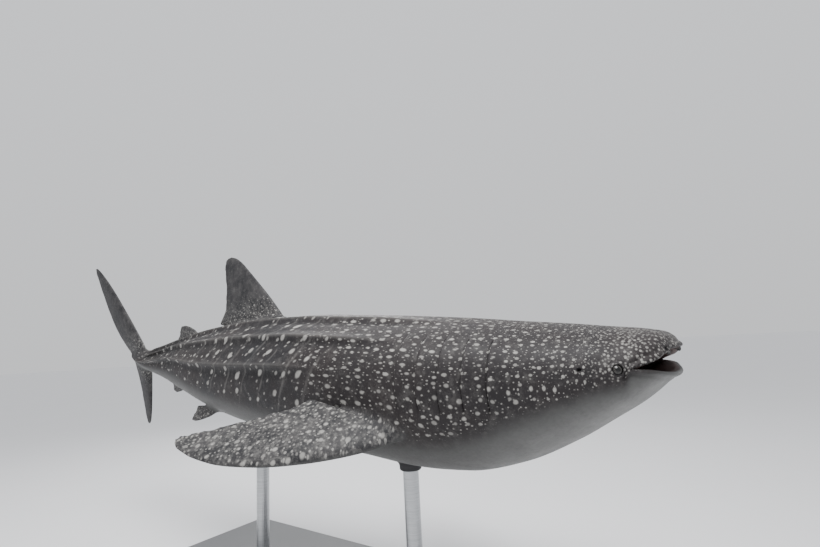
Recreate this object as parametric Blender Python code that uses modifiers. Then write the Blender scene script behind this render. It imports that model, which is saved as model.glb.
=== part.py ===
"""A life-size display model of a whale shark on a stand, as separate solids.

Fleshy pieces are shaped in body coordinates, as shares of LENGTH: s runs back from the tip of the
snout along the spine, r runs to the animal's right and u runs up. place() carries them into the
world in metres, where +X is ahead, +Y is the animal's left, +Z is up and the origin is the centre
of the underside of the stand's base.
"""

import math

import bmesh
import bpy
import numpy as np
from mathutils import Matrix

# Overall size in metres, and the gap that touching pieces keep.
LENGTH = 7.5
GAP = 0.0003

# Pose: the spine is level and straight to BEND_START, then turns to the left and upward to BEND_END.
SPINE_HEIGHT = 1.74
SPINE_ANCHOR = 0.37
BEND_START = 0.40
BEND_END = 0.80
TAIL_YAW = math.radians(4.6)
TAIL_LIFT = math.radians(7.5)
TAIL_TWIST = math.radians(12.0)
TWIST_START = 0.62

# Body profile in shares: distance back, half width, top, bottom, and the level of greatest width.
PROFILE = (
    (0.000, 0.034, 0.0155, -0.0075, 0.0008),
    (0.010, 0.0505, 0.0245, -0.0125, 0.0008),
    (0.023, 0.0590, 0.0283, -0.0230, 0.0008),
    (0.0275, 0.0612, 0.0292, -0.0260, -0.0066),
    (0.040, 0.0660, 0.0308, -0.0335, -0.0080),
    (0.070, 0.0725, 0.0345, -0.0515, -0.0105),
    (0.110, 0.0780, 0.0385, -0.0700, -0.0118),
    (0.155, 0.0810, 0.0438, -0.0815, -0.0105),
    (0.200, 0.0812, 0.0485, -0.0842, -0.0070),
    (0.270, 0.0785, 0.0552, -0.0795, -0.0010),
    (0.350, 0.0725, 0.0618, -0.0730, 0.0035),
    (0.440, 0.0625, 0.0642, -0.0622, 0.0050),
    (0.530, 0.0490, 0.0585, -0.0485, 0.0085),
    (0.620, 0.0335, 0.0455, -0.0320, 0.0125),
    (0.700, 0.0215, 0.0285, -0.0200, 0.0070),
    (0.760, 0.0145, 0.0175, -0.0165, 0.0010),
    (0.820, 0.0080, 0.0125, -0.0130, -0.0005),
)
SNOUT_SHARE = 0.010
SQUARE_HEAD = 0.80
SQUARE_BODY = 0.96

# Where the body is parted into nodes, with the number of even rings in each.
JAW_END = 0.094
SPANS = (
    ("gill_section", JAW_END, 0.262, 10),
    ("trunk_front", 0.262, 0.400, 7),
    ("trunk_rear", 0.400, 0.590, 9),
    ("tail_base", 0.590, 0.705, 6),
    ("tail_stalk", 0.705, 0.815, 9),
)

# The mouth: where its corner is, how wide it opens, and how far back its inside runs.
CORNER_SHARE = 0.023
CORNER_HALF_WIDTH = 0.0585
UPPER_LIP_RISE = 0.0100
LOWER_LIP_DROP = 0.0050
JAW_SETBACK = 0.0022
THROAT_END = 0.076
LIP_RADIUS = 0.0024
LIP_SINK = 0.0018
HEAD_STATIONS = (0.0003, 0.0014, 0.0035, 0.0065, 0.0105, 0.016, 0.023, 0.025, 0.0275, 0.033, 0.040,
                 0.050, 0.060, 0.069, 0.078, JAW_END)

# Eyes, nostrils and spiracles.
EYE_SHARE = 0.0300
EYE_HEIGHT = 0.0002
EYE_RADIUS = 0.026
EYE_SINK = 0.006
LID_RADIUS = 0.0295
LID_THICKNESS = 0.0062
NOSTRIL_WIDTH = 0.036
NOSTRIL_RADIUS = 0.020
BARBEL_RADIUS = 0.013
SPIRACLE_SHARE = 0.051
SPIRACLE_HEIGHT = 0.0010
SPIRACLE_RADIUS = 0.018

# The ridges along each flank, as angles down from the top of the back in degrees.
RIDGES = ((26.0, 0.14), (54.0, 0.17), (84.0, 0.26))
RIDGE_FOOT = 6.0
RIDGE_HEIGHT = 0.0042
RIDGE_RISE = 0.10
RIDGE_END = 0.72
KEEL_START = 0.60
KEEL_PEAK = 0.745
KEEL_END = 0.775
KEEL_WIDTH = 0.0095
BETWEEN_RIDGES = (13.0, 40.0, 69.0, 99.0, 110.0, 121.0, 133.0, 145.0, 157.0, 169.0)

# Gills: five slits on each side, each under the rear edge of a flap.
GILL_FIRST = 0.1080
GILL_PITCH = 0.0190
GILL_COUNT = 5
GILL_FLAP = 0.0032
GILL_DEPTH = 0.0060
GILL_HALF_SLIT = 0.0010
GILL_TOP = 56.0
GILL_BOTTOM = 112.0

# The fins' outlines. Each row is a front-edge point and a rear-edge point, from root to tip.
PECTORAL_ROOT = (0.185, 0.073, -0.0475)
PECTORAL_RISE = 0.359
PECTORAL_DROOP = 0.75
PECTORAL_ROWS = (
    ((0.172, 0.055), (0.238, 0.058)),
    ((0.185, 0.073), (0.243, 0.075)),
    ((0.194, 0.082), (0.281, 0.082)),
    ((0.213, 0.098), (0.288, 0.0915)),
    ((0.243, 0.1185), (0.302, 0.1025)),
    ((0.280, 0.138), (0.320, 0.118)),
    ((0.318, 0.1515), (0.341, 0.1355)),
    ((0.347, 0.1575), (0.3585, 0.148)),
    ((0.360, 0.158), (0.3645, 0.153)),
)
DORSAL_ROWS = (
    ((0.400, 0.040), (0.520, 0.040)),
    ((0.412, 0.0640), (0.532, 0.0590)),
    ((0.424, 0.0755), (0.552, 0.0640)),
    ((0.441, 0.0925), (0.5395, 0.0830)),
    ((0.464, 0.1130), (0.5385, 0.1050)),
    ((0.486, 0.1315), (0.5412, 0.1260)),
    ((0.504, 0.1452), (0.5438, 0.1405)),
    ((0.517, 0.1518), (0.5425, 0.1490)),
    ((0.528, 0.1545), (0.5375, 0.1535)),
)
SECOND_DORSAL_ROWS = (
    ((0.596, 0.036), (0.650, 0.028)),
    ((0.603, 0.0480), (0.656, 0.0385)),
    ((0.612, 0.0522), (0.673, 0.0380)),
    ((0.626, 0.0572), (0.6655, 0.0475)),
    ((0.640, 0.0608), (0.6640, 0.0560)),
    ((0.650, 0.0620), (0.6610, 0.0605)),
)
ANAL_ROWS = (
    ((0.628, -0.020), (0.666, -0.014)),
    ((0.634, -0.0290), (0.672, -0.0232)),
    ((0.644, -0.0325), (0.688, -0.0240)),
    ((0.658, -0.0362), (0.681, -0.0310)),
    ((0.669, -0.0385), (0.680, -0.0368)),
)
PELVIC_ROWS = (
    ((0.490, 0.000), (0.530, 0.000)),
    ((0.496, 0.010), (0.536, 0.010)),
    ((0.505, 0.017), (0.557, 0.013)),
    ((0.520, 0.025), (0.5535, 0.0205)),
    ((0.534, 0.0305), (0.5525, 0.0275)),
    ((0.542, 0.0325), (0.5500, 0.0317)),
)
PELVIC_HINGE = (0.017, -0.033)
PELVIC_SPLAY = math.radians(36.0)
UPPER_LOBE_ROWS = (
    ((0.776, 0.000), (0.848, -0.0035)),
    ((0.780, 0.0100), (0.858, 0.0050)),
    ((0.789, 0.0190), (0.8765, 0.0165)),
    ((0.806, 0.0350), (0.9000, 0.0325)),
    ((0.831, 0.0575), (0.9230, 0.0545)),
    ((0.862, 0.0835), (0.9410, 0.0790)),
    ((0.896, 0.1105), (0.9570, 0.1050)),
    ((0.930, 0.1350), (0.9710, 0.1305)),
    ((0.958, 0.1510), (0.9800, 0.1490)),
    ((0.971, 0.1565), (0.9800, 0.1560)),
)
LOWER_LOBE_ROWS = (
    ((0.774, 0.0000), (0.848, -0.0045)),
    ((0.775, -0.0120), (0.842, -0.0140)),
    ((0.777, -0.0250), (0.836, -0.0270)),
    ((0.783, -0.0480), (0.8300, -0.0470)),
    ((0.791, -0.0740), (0.8270, -0.0700)),
    ((0.800, -0.0980), (0.8255, -0.0930)),
    ((0.808, -0.1130), (0.8235, -0.1100)),
    ((0.814, -0.1180), (0.8205, -0.1170)),
)
LOBE_PARTING = -0.004
FOIL = ((0.0, 0.0), (0.035, 0.42), (0.12, 0.76), (0.27, 1.0), (0.47, 0.93), (0.70, 0.58), (0.88, 0.25),
        (1.0, 0.0))
FIN_EDGE = 0.0022

# The stand.
BASE_SIZE = (3.3, 1.5, 0.09)
BASE_EDGE = 0.02
ROD_SHARES = (0.235, 0.455)
ROD_RADIUS = 0.055
ROD_SIDES = 24
FLANGE_RADIUS = 0.15
FLANGE_THICKNESS = 0.025

SKIN = (0.10, 0.11, 0.125, 1.0)
EYE = (0.012, 0.012, 0.014, 1.0)
STAND = (0.045, 0.047, 0.05, 1.0)


def hermite(x, table, column):
    """Smooth curve, with no overshoot, through one column of a table sorted by its first value."""
    xs = np.array([row[0] for row in table])
    ys = np.array([row[column] for row in table])
    rise = np.diff(ys) / np.diff(xs)
    product = rise[1:] * rise[:-1]
    mean = 2 * product / np.where(product > 0, rise[1:] + rise[:-1], 1.0)
    slopes = np.concatenate([rise[:1], np.where(product > 0, mean, 0.0), rise[-1:]])
    x = np.clip(np.asarray(x, float), xs[0], xs[-1])
    i = np.clip(np.searchsorted(xs, x, side="right") - 1, 0, len(xs) - 2)
    step = xs[i + 1] - xs[i]
    t = (x - xs[i]) / step
    value = (2 * t**3 - 3 * t**2 + 1) * ys[i] + (3 * t**2 - 2 * t**3) * ys[i + 1]
    return value + step * ((t**3 - 2 * t**2 + t) * slopes[i] + (t**3 - t**2) * slopes[i + 1])


def ease(t):
    """0 before t = 0 and 1 after t = 1, with a smooth change between."""
    t = np.clip(t, 0.0, 1.0)
    return t * t * (3 - 2 * t)


def spine_table():
    """Shares along the spine with the world position and right and up axes at each."""
    share = np.linspace(-0.05, 1.10, 461)
    bend = ease((share - BEND_START) / (BEND_END - BEND_START))
    yaw = TAIL_YAW * bend
    lift = TAIL_LIFT * bend
    back = np.stack([-np.cos(lift) * np.cos(yaw), np.cos(lift) * np.sin(yaw), np.sin(lift)], 1)
    step = np.diff(share)[:, None] * LENGTH
    centre = np.vstack([np.zeros(3), np.cumsum(0.5 * (back[1:] + back[:-1]) * step, axis=0)])
    centre += [0.0, 0.0, SPINE_HEIGHT] - np.array([np.interp(SPINE_ANCHOR, share, c) for c in centre.T])
    right = np.cross(-back, [0.0, 0.0, 1.0])
    right /= np.linalg.norm(right, axis=1)[:, None]
    up = np.cross(right, -back)
    twist = TAIL_TWIST * ease((share - TWIST_START) / (BEND_END - TWIST_START))[:, None]
    return (share, centre, right * np.cos(twist) - up * np.sin(twist),
            up * np.cos(twist) + right * np.sin(twist))


SPINE = spine_table()


def place(points):
    """World positions of points given in body coordinates."""
    points = np.atleast_2d(np.asarray(points, float))
    share, centre, right, up = SPINE
    origin, side, rise = (np.stack([np.interp(points[:, 0], share, c) for c in table.T], 1)
                          for table in (centre, right, up))
    return origin + LENGTH * (points[:, 1:2] * side + points[:, 2:3] * rise)


def ring_angles():
    """Angles round a section, from the top down the right side and up the left, in degrees."""
    marks = {0.0, 180.0, *BETWEEN_RIDGES}
    for angle, _ in RIDGES:
        marks |= {angle - RIDGE_FOOT, angle, angle + RIDGE_FOOT}
    right = sorted(marks)
    return np.array(right + [360.0 - a for a in reversed(right[1:-1])])


ANGLES = ring_angles()
UPPER_ANGLES = np.array(sorted(a if a <= 180 else a - 360 for a in ANGLES if a <= 90 or a >= 270))[::-1]
LOWER_ANGLES = np.array([a for a in ANGLES if 90 <= a <= 270])


def relief(share, angle):
    """How far ridges, keels and gill flaps stand out from the plain section."""
    side = np.minimum(angle % 360.0, 360.0 - angle % 360.0)
    lift = np.zeros_like(side)
    for ridge, start in RIDGES:
        grown = ease((share - start) / RIDGE_RISE) * (1 - ease((share - RIDGE_END) / 0.05))
        lift += RIDGE_HEIGHT * grown * np.clip(1 - np.abs(side - ridge) / RIDGE_FOOT, 0, 1)
    keel = ease((share - KEEL_START) / (KEEL_PEAK - KEEL_START)) * (1 - ease((share - KEEL_END) / 0.035))
    lift += KEEL_WIDTH * keel * np.clip(1 - np.abs(side - RIDGES[-1][0]) / RIDGE_FOOT, 0, 1)
    middle = 0.5 * (GILL_TOP + GILL_BOTTOM)
    window = np.clip(1.5 * (1 - np.abs(side - middle) / (GILL_BOTTOM - middle)), 0, 1)
    return lift + gill_profile(share) * window


def gill_profile(share):
    """Height of the gill flaps along the body: each rises to its rear edge, then drops into a slit."""
    slits = GILL_FIRST + GILL_PITCH * np.arange(GILL_COUNT)
    height = 0.0
    for slit in slits:
        before = (slit - share) / GILL_PITCH
        if abs(share - slit) < 0.5 * GILL_HALF_SLIT:
            return -GILL_DEPTH
        if 0.0 < before < 1.0:
            height = GILL_FLAP * (1 - before) ** 1.5
    return height


def contour(share, angle, edge=None):
    """Body coordinates of skin points at one share and some angles; edge moves the widest level."""
    wide, top, bottom, level = (hermite(share, PROFILE, column) for column in (1, 2, 3, 4))
    nose = min(share / SNOUT_SHARE, 1.0)
    wide *= 0.30 + 0.70 * (1 - (1 - nose) ** 2.4) ** (1 / 2.4)
    level = level if edge is None else edge
    square = SQUARE_HEAD + (SQUARE_BODY - SQUARE_HEAD) * ease((share - 0.06) / 0.20)
    across = np.sin(np.radians(angle))
    rise = np.cos(np.radians(angle))
    r = wide * np.sign(across) * np.abs(across) ** square
    u = np.where(rise > 0, top - level, level - bottom) * np.sign(rise) * np.abs(rise) ** square
    grow = 1 + relief(share, angle) / (np.hypot(r, u) + 1e-9)
    return np.stack([np.full_like(r, share), r * grow, level + u * grow], 1)


def mouth_reach(share):
    """Half width and openness of the mouth's inside at one share."""
    openness = 1 - ease((share - 0.040) / (THROAT_END - 0.040))
    half = CORNER_HALF_WIDTH * (0.45 + 0.55 * openness)
    return half, openness


def lip_line(r, share, rise):
    """Height of a lip's edge across the mouth: a parabola from corner to corner."""
    half, openness = mouth_reach(share)
    level = hermite(share, PROFILE, 4)
    return level + rise * openness * np.clip(1 - (r / half) ** 2, 0, 1)


def jaw_rings(angles, rise, gap, setback):
    """Rings of one jaw: the skin outside and the mouth's roof or floor inside."""
    rings = []
    for share in HEAD_STATIONS:
        blend = 1 - ease(share / 0.018)
        station = share + setback * blend
        if share == HEAD_STATIONS[-1]:
            station = share - 0.5 * GAP / LENGTH
        edge_width = abs(contour(share, np.array([90.0]))[0, 1])
        edge = lip_line(edge_width, station, rise) + gap
        outer = contour(share, angles, edge)
        outer[:, 0] = station
        inner = outer[1:-1].copy()
        vault = 0.35 * rise * ease(share / 0.03) * (1 - ease((share - 0.045) / 0.03))
        deep = np.clip(1.25 * (1 - np.abs(inner[:, 1]) / mouth_reach(station)[0]), 0, 1)
        inner[:, 2] = lip_line(inner[:, 1], station, rise) + gap + vault * deep
        rings.append((outer, inner))
    return rings


def jaw_mesh(name, angles, rise, gap, setback, collection):
    """One jaw as a closed loft of skin and mouth lining, with strips across both ends."""
    rings = jaw_rings(angles, rise, gap, setback)
    outer_count = len(angles)
    loops = [np.vstack([outer, inner[::-1]]) for outer, inner in rings]
    count = len(loops[0])
    faces = loft_faces(len(loops), count)
    for first in (0, (len(loops) - 1) * count):
        for j in range(outer_count - 1):
            inner_a = first + (0 if j == 0 else count - j)
            inner_b = first + (count - j - 1 if j < outer_count - 2 else outer_count - 1)
            for face in ((first + j, first + j + 1, inner_b), (first + j, inner_b, inner_a)):
                if len(set(face)) == 3:
                    faces.append(face)
    return new_object(name, place(np.vstack(loops)), faces, collection)


def loft_faces(ring_count, count):
    """Triangles between neighbouring rings of equal length."""
    faces = []
    for i in range(ring_count - 1):
        for j in range(count):
            a = i * count + j
            b = i * count + (j + 1) % count
            faces += [(a, b, b + count), (a, b + count, a + count)]
    return faces


def new_object(name, points, faces, collection):
    """A closed mesh object with its faces pointing out."""
    mesh = bpy.data.meshes.new(name)
    mesh.from_pydata([tuple(p) for p in points], [], faces)
    obj = bpy.data.objects.new(name, mesh)
    collection.objects.link(obj)
    face_out(obj)
    return obj


def face_out(obj):
    """Turns every face of a closed mesh outwards and smooths its shading."""
    shape = bmesh.new()
    shape.from_mesh(obj.data)
    bmesh.ops.recalc_face_normals(shape, faces=shape.faces)
    if shape.calc_volume(signed=True) < 0:
        bmesh.ops.reverse_faces(shape, faces=shape.faces)
    shape.to_mesh(obj.data)
    shape.free()
    obj.data.shade_smooth()


def span_stations(start, end, count):
    """Shares of the rings between two partings, with three rings at each gill slit."""
    even = list(np.linspace(start, end, count + 1))
    slits = [GILL_FIRST + i * GILL_PITCH for i in range(GILL_COUNT)]
    if not start < slits[0] < end:
        return even
    kept = [s for s in even if s in (start, end) or s > slits[-1] + 0.5 * GILL_PITCH]
    for slit in slits:
        kept += [slit - 0.5 * GILL_PITCH, slit - GILL_HALF_SLIT, slit, slit + GILL_HALF_SLIT]
    return sorted(kept)


def body_span(name, start, end, count, collection, inflate=0.0):
    """One closed length of the body between two partings, swollen by inflate metres for a cutter."""
    shares = span_stations(start, end, count)
    shares[0] += 0.5 * GAP / LENGTH
    shares[-1] -= 0.5 * GAP / LENGTH
    rings = []
    for share in shares:
        ring = contour(share, ANGLES)
        ring[:, 1] += inflate / LENGTH * np.sin(np.radians(ANGLES))
        ring[:, 2] += inflate / LENGTH * np.cos(np.radians(ANGLES))
        rings.append(ring)
    if inflate:
        rings[0][:, 0] -= 2 * inflate / LENGTH
        rings[-1][:, 0] += 2 * inflate / LENGTH
    count = len(ANGLES)
    points = np.vstack(rings)
    faces = loft_faces(len(rings), count)
    for first, ring in ((0, rings[0]), ((len(rings) - 1) * count, rings[-1])):
        centre = len(points)
        points = np.vstack([points, ring.mean(axis=0)])
        faces += [(first + j, first + (j + 1) % count, centre) for j in range(count)]
    return new_object(name, place(points), faces, collection)


def fin_mesh(name, rows, thickness, to_body, collection, steps=2):
    """A fin from rows of front and rear edge points, with both faces split into like triangles."""
    table = [(i, *front, *rear) for i, (front, rear) in enumerate(rows)]
    q = np.linspace(0, len(rows) - 1, (len(rows) - 1) * steps + 1)
    front = np.stack([hermite(q, table, 1), hermite(q, table, 2)], 1)
    rear = np.stack([hermite(q, table, 3), hermite(q, table, 4)], 1)
    along = np.array([x for x, _ in FOIL])
    foil = np.array([t for _, t in FOIL])
    flat = front[:, None] * (1 - along[None, :, None]) + rear[:, None] * along[None, :, None]
    chord = np.linalg.norm(rear - front, axis=1)
    taper = np.sqrt(np.clip(1 - (q / q[-1]) ** 2, 0, 1)) * 0.75 + 0.25 * (1 - q / q[-1])
    half = 0.5 * thickness * taper * np.clip(chord / chord[steps], 0, 1)
    offset = half[:, None] * foil[None, :] + FIN_EDGE / LENGTH
    m, n = offset.shape
    sides = [to_body(flat.reshape(-1, 2), sign * offset.reshape(-1)) for sign in (1, -1)]
    faces = []
    for i in range(m - 1):
        for j in range(n - 1):
            a, b, c, d = i * n + j, i * n + j + 1, (i + 1) * n + j + 1, (i + 1) * n + j
            for base in (0, m * n):
                faces += [(base + a, base + b, base + c), (base + a, base + c, base + d)]
    rim = list(range(n)) + [i * n + n - 1 for i in range(1, m)]
    rim += [(m - 1) * n + j for j in range(n - 2, -1, -1)] + [i * n for i in range(m - 2, 0, -1)]
    for a, b in zip(rim, rim[1:] + rim[:1]):
        faces += [(a, b, m * n + b), (a, m * n + b, m * n + a)]
    return new_object(name, place(np.vstack(sides)), faces, collection)


def upright(flat, offset):
    """Body coordinates of a fin that stands in the plane of symmetry."""
    return np.stack([flat[:, 0], offset, flat[:, 1]], 1)


def pectoral_plane(side):
    """Body coordinates for a pectoral fin: a plane that rises tailward and droops outward."""
    normal = np.array([-PECTORAL_RISE, PECTORAL_DROOP, 1.0])
    normal /= np.linalg.norm(normal)

    def to_body(flat, offset):
        s, r = flat.T
        ahead, inner, level = PECTORAL_ROOT
        u = level + PECTORAL_RISE * (s - ahead) - PECTORAL_DROOP * (r - inner)
        points = np.stack([s, r, u], 1) + offset[:, None] * normal
        return points * [1, side, 1]
    return to_body


def pelvic_plane(side):
    """Body coordinates for a pelvic fin, which splays out and down from its hinge."""
    out = np.array([0.0, math.sin(PELVIC_SPLAY), -math.cos(PELVIC_SPLAY)])
    normal = np.array([0.0, math.cos(PELVIC_SPLAY), math.sin(PELVIC_SPLAY)])

    def to_body(flat, offset):
        points = flat[:, :1] * [1.0, 0.0, 0.0] + flat[:, 1:] * out + offset[:, None] * normal
        return (points + [0.0, *PELVIC_HINGE]) * [1, side, 1]
    return to_body


def boolean(obj, operands, operation, solver="EXACT"):
    """Applies one Boolean with a collection of closed meshes, which are then removed."""
    group = bpy.data.collections.new("operands")
    bpy.context.scene.collection.children.link(group)
    for operand in operands:
        for holder in list(operand.users_collection):
            holder.objects.unlink(operand)
        group.objects.link(operand)
    modifier = obj.modifiers.new("join", "BOOLEAN")
    modifier.operation = operation
    modifier.operand_type = "COLLECTION"
    modifier.collection = group
    modifier.solver = solver
    bpy.context.view_layer.update()
    evaluated = obj.evaluated_get(bpy.context.evaluated_depsgraph_get())
    mesh = bpy.data.meshes.new_from_object(evaluated)
    obj.modifiers.clear()
    obj.data = mesh
    for operand in list(group.objects):
        bpy.data.objects.remove(operand)
    bpy.data.collections.remove(group)
    keep_largest(obj)


def keep_largest(obj):
    """Keeps the largest closed surface of a mesh, in triangles."""
    shape = bmesh.new()
    shape.from_mesh(obj.data)
    bmesh.ops.triangulate(shape, faces=shape.faces)
    waiting = set(shape.verts)
    pieces = []
    while waiting:
        front = [waiting.pop()]
        piece = set(front)
        while front:
            for edge in front.pop().link_edges:
                for vert in edge.verts:
                    if vert in waiting:
                        waiting.discard(vert)
                        piece.add(vert)
                        front.append(vert)
        pieces.append(piece)
    largest = max(pieces, key=len)
    bmesh.ops.delete(shape, geom=[v for v in shape.verts if v not in largest], context="VERTS")
    shape.to_mesh(obj.data)
    shape.free()
    obj.data.shade_smooth()


def skin_frame(share, height, side):
    """World point on the head's side at a share and height, with its outward direction."""
    level = hermite(share, PROFILE, 4)
    angle = np.linspace(0.0, 180.0, 361)
    ring = contour(share, angle)
    found = float(np.interp(-height, -ring[:, 2], angle))
    near = contour(share, np.array([found - 4.0, found, found + 4.0])) * [1, side, 1]
    ahead = contour(share + 0.004, np.array([found])) * [1, side, 1]
    points = place(np.vstack([near, ahead]))
    out = np.cross(points[2] - points[0], points[3] - points[1])
    out /= np.linalg.norm(out)
    centre = place([[share, 0.0, level]])[0]
    return points[1], out if np.dot(out, points[1] - centre) > 0 else -out


def ball(name, centre, radius, collection, scale=(1, 1, 1), segments=20):
    """A sphere or ellipsoid with its scale put into the mesh."""
    shape = bmesh.new()
    bmesh.ops.create_uvsphere(shape, u_segments=segments, v_segments=segments // 2, radius=radius)
    bmesh.ops.scale(shape, vec=scale, verts=shape.verts)
    bmesh.ops.triangulate(shape, faces=shape.faces)
    bmesh.ops.translate(shape, vec=centre, verts=shape.verts)
    mesh = bpy.data.meshes.new(name)
    shape.to_mesh(mesh)
    shape.free()
    obj = bpy.data.objects.new(name, mesh)
    collection.objects.link(obj)
    mesh.shade_smooth()
    return obj


def lid_ring(name, centre, out, collection):
    """The round fold of skin about an eye, as a torus turned to face outwards."""
    turn = np.cross(out, [0.0, 0.0, 1.0])
    turn /= np.linalg.norm(turn)
    lift = np.cross(turn, out)
    around, across = 16, 6
    rings = []
    for i in range(around):
        turned = 2 * math.pi * i / around
        spoke = math.cos(turned) * turn + math.sin(turned) * lift
        for k in range(across):
            a = 2 * math.pi * k / across
            reach = LID_RADIUS + LID_THICKNESS * math.cos(a)
            rings.append(centre + spoke * reach + out * LID_THICKNESS * math.sin(a))
    total = around * across
    faces = [tuple(i % total for i in face) for face in loft_faces(around + 1, across)]
    return new_object(name, np.vstack(rings), faces, collection)


def lip_tube(name, rise, gap, setback, collection):
    """The rounded rim of one jaw, swept along the lip's edge from corner to corner."""
    spread = np.linspace(-1.0, 1.0, 25)
    r = CORNER_HALF_WIDTH * np.sin(0.5 * math.pi * spread)
    shares = np.linspace(0.0003, CORNER_SHARE, 60)
    widths = np.array([abs(contour(s, np.array([90.0]))[0, 1]) for s in shares])
    share = np.interp(np.abs(r), widths, shares)
    share = np.minimum(share + setback + LIP_SINK, CORNER_SHARE)
    path = np.stack([share, r * 0.965, lip_line(r, share, rise) + gap], 1)
    radius = LIP_RADIUS * (0.35 + 0.65 * np.sqrt(np.clip(1 - spread**2, 0, 1)))
    path[:, 2] += np.sign(rise) * 1.1 * radius
    path = place(path)
    radius *= LENGTH
    tangent = np.gradient(path, axis=0)
    tangent /= np.linalg.norm(tangent, axis=1)[:, None]
    side = np.cross(tangent, [0.0, 0.0, 1.0])
    side /= np.linalg.norm(side, axis=1)[:, None]
    lift = np.cross(side, tangent)
    turn = 2 * np.pi * np.arange(8) / 8
    rings = path[:, None] + radius[:, None, None] * (
        np.cos(turn)[None, :, None] * side[:, None] + np.sin(turn)[None, :, None] * lift[:, None])
    faces = loft_faces(len(path), 8)
    points = np.vstack([rings.reshape(-1, 3), path[:1], path[-1:]])
    for first, centre in ((0, len(points) - 2), ((len(path) - 1) * 8, len(points) - 1)):
        faces += [(first + j, first + (j + 1) % 8, centre) for j in range(8)]
    return new_object(name, points, faces, collection)


def make_head(parts, cutters):
    """The upper head with its lip, nostrils, lids and spiracles, the lower jaw, and the eyes."""
    gap = 0.5 * GAP / LENGTH
    head = jaw_mesh("head", UPPER_ANGLES, UPPER_LIP_RISE, gap, 0.0, parts)
    jaw = jaw_mesh("lower_jaw", LOWER_ANGLES, -LOWER_LIP_DROP, -gap, JAW_SETBACK, parts)
    added = [lip_tube("upper_lip", UPPER_LIP_RISE, gap, 0.0, cutters)]
    cut = []
    for side, word in ((1, "right"), (-1, "left")):
        point, out = skin_frame(EYE_SHARE, EYE_HEIGHT, side)
        centre = point - EYE_SINK * out
        added.append(lid_ring("lid_" + word, point - 0.002 * out, out, cutters))
        cut.append(ball("socket_" + word, centre, EYE_RADIUS + GAP, cutters, segments=16))
        ball("eye_" + word, centre, EYE_RADIUS, parts, segments=16)
        edge = lip_line(NOSTRIL_WIDTH, 0.0, UPPER_LIP_RISE)
        front = float(np.interp(NOSTRIL_WIDTH, *front_outline()))
        spot = place([[front + 0.0006, side * NOSTRIL_WIDTH, edge + 0.0040]])[0]
        cut.append(ball("nostril_" + word, spot, NOSTRIL_RADIUS, cutters, (1.0, 1.25, 0.55), 12))
        tip = place([[front + 0.0010, side * (NOSTRIL_WIDTH - 0.0052), edge + 0.0022]])[0]
        added.append(ball("barbel_" + word, tip, BARBEL_RADIUS, cutters, (1.1, 0.8, 1.2), 12))
        hole, out = skin_frame(SPIRACLE_SHARE, SPIRACLE_HEIGHT, side)
        cut.append(ball("spiracle_" + word, hole, SPIRACLE_RADIUS, cutters, (1.2, 0.9, 0.8), 12))
    boolean(head, added, "UNION")
    boolean(head, cut, "DIFFERENCE")
    boolean(jaw, [lip_tube("lower_lip", -LOWER_LIP_DROP, -gap, JAW_SETBACK, cutters)], "UNION")


def front_outline():
    """Half widths of the snout at the mouth line, and the shares at which they are reached."""
    shares = np.linspace(0.0003, CORNER_SHARE, 60)
    return [abs(contour(s, np.array([90.0]))[0, 1]) for s in shares], shares


def body_cutter(name, collection):
    """The swollen copy of one body span that trims what grows from it."""
    span = next(row for row in SPANS if row[0] == name)
    return body_span("cutter_" + name, *span[1:], collection, inflate=GAP)


def make_fins(parts, cutters):
    """Every fin, each trimmed to the span of body that it grows from."""
    for side, word in ((1, "right"), (-1, "left")):
        pectoral = fin_mesh("pectoral_fin_" + word, PECTORAL_ROWS, 0.0125, pectoral_plane(side), parts)
        boolean(pectoral, [body_cutter("gill_section", cutters)], "DIFFERENCE")
        pelvic = fin_mesh("pelvic_fin_" + word, PELVIC_ROWS, 0.0065, pelvic_plane(side), parts)
        boolean(pelvic, [body_cutter("trunk_rear", cutters)], "DIFFERENCE")
    for name, rows, thick, span in (
            ("first_dorsal_fin", DORSAL_ROWS, 0.013, "trunk_rear"),
            ("second_dorsal_fin", SECOND_DORSAL_ROWS, 0.007, "tail_base"),
            ("anal_fin", ANAL_ROWS, 0.006, "tail_base"),
            ("caudal_fin_upper", parted(UPPER_LOBE_ROWS, 1), 0.0125, "tail_stalk"),
            ("caudal_fin_lower", parted(LOWER_LOBE_ROWS, -1), 0.0125, "tail_stalk")):
        fin = fin_mesh(name, rows, thick, upright, parts)
        boolean(fin, [body_cutter(span, cutters)], "DIFFERENCE")


def parted(rows, side):
    """Tail lobe rows with the root row moved to its side of the line where the two lobes meet."""
    level = LOBE_PARTING + side * 0.5 * GAP / LENGTH
    (front, rear), rest = rows[0], rows[1:]
    return (((front[0], level), (rear[0], level)), *rest)


def make_stand(parts, cutters):
    """A flat base with softened edges and two flanged rods that end at the belly."""
    bpy.ops.mesh.primitive_cube_add(size=1.0)
    base = bpy.context.active_object
    base.name = "stand_base"
    base.data.transform(Matrix.Translation((0, 0, 0.5 * BASE_SIZE[2])) @ Matrix.Diagonal((*BASE_SIZE, 1.0)))
    move_to(base, parts)
    bevel = base.modifiers.new("edge", "BEVEL")
    bevel.width = BASE_EDGE
    bevel.segments = 2
    for share, word in zip(ROD_SHARES, ("front", "rear")):
        x, y, top = place([[share, 0.0, -0.02]])[0]
        low = BASE_SIZE[2] + GAP
        high = low + FLANGE_THICKNESS
        cylinder("stand_flange_" + word, (x, y), FLANGE_RADIUS, low, high, parts)
        rod = cylinder("stand_rod_" + word, (x, y), ROD_RADIUS, high + GAP, top, parts)
        span = next(row[0] for row in SPANS if row[1] < share < row[2])
        boolean(rod, [body_cutter(span, cutters)], "DIFFERENCE")


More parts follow.
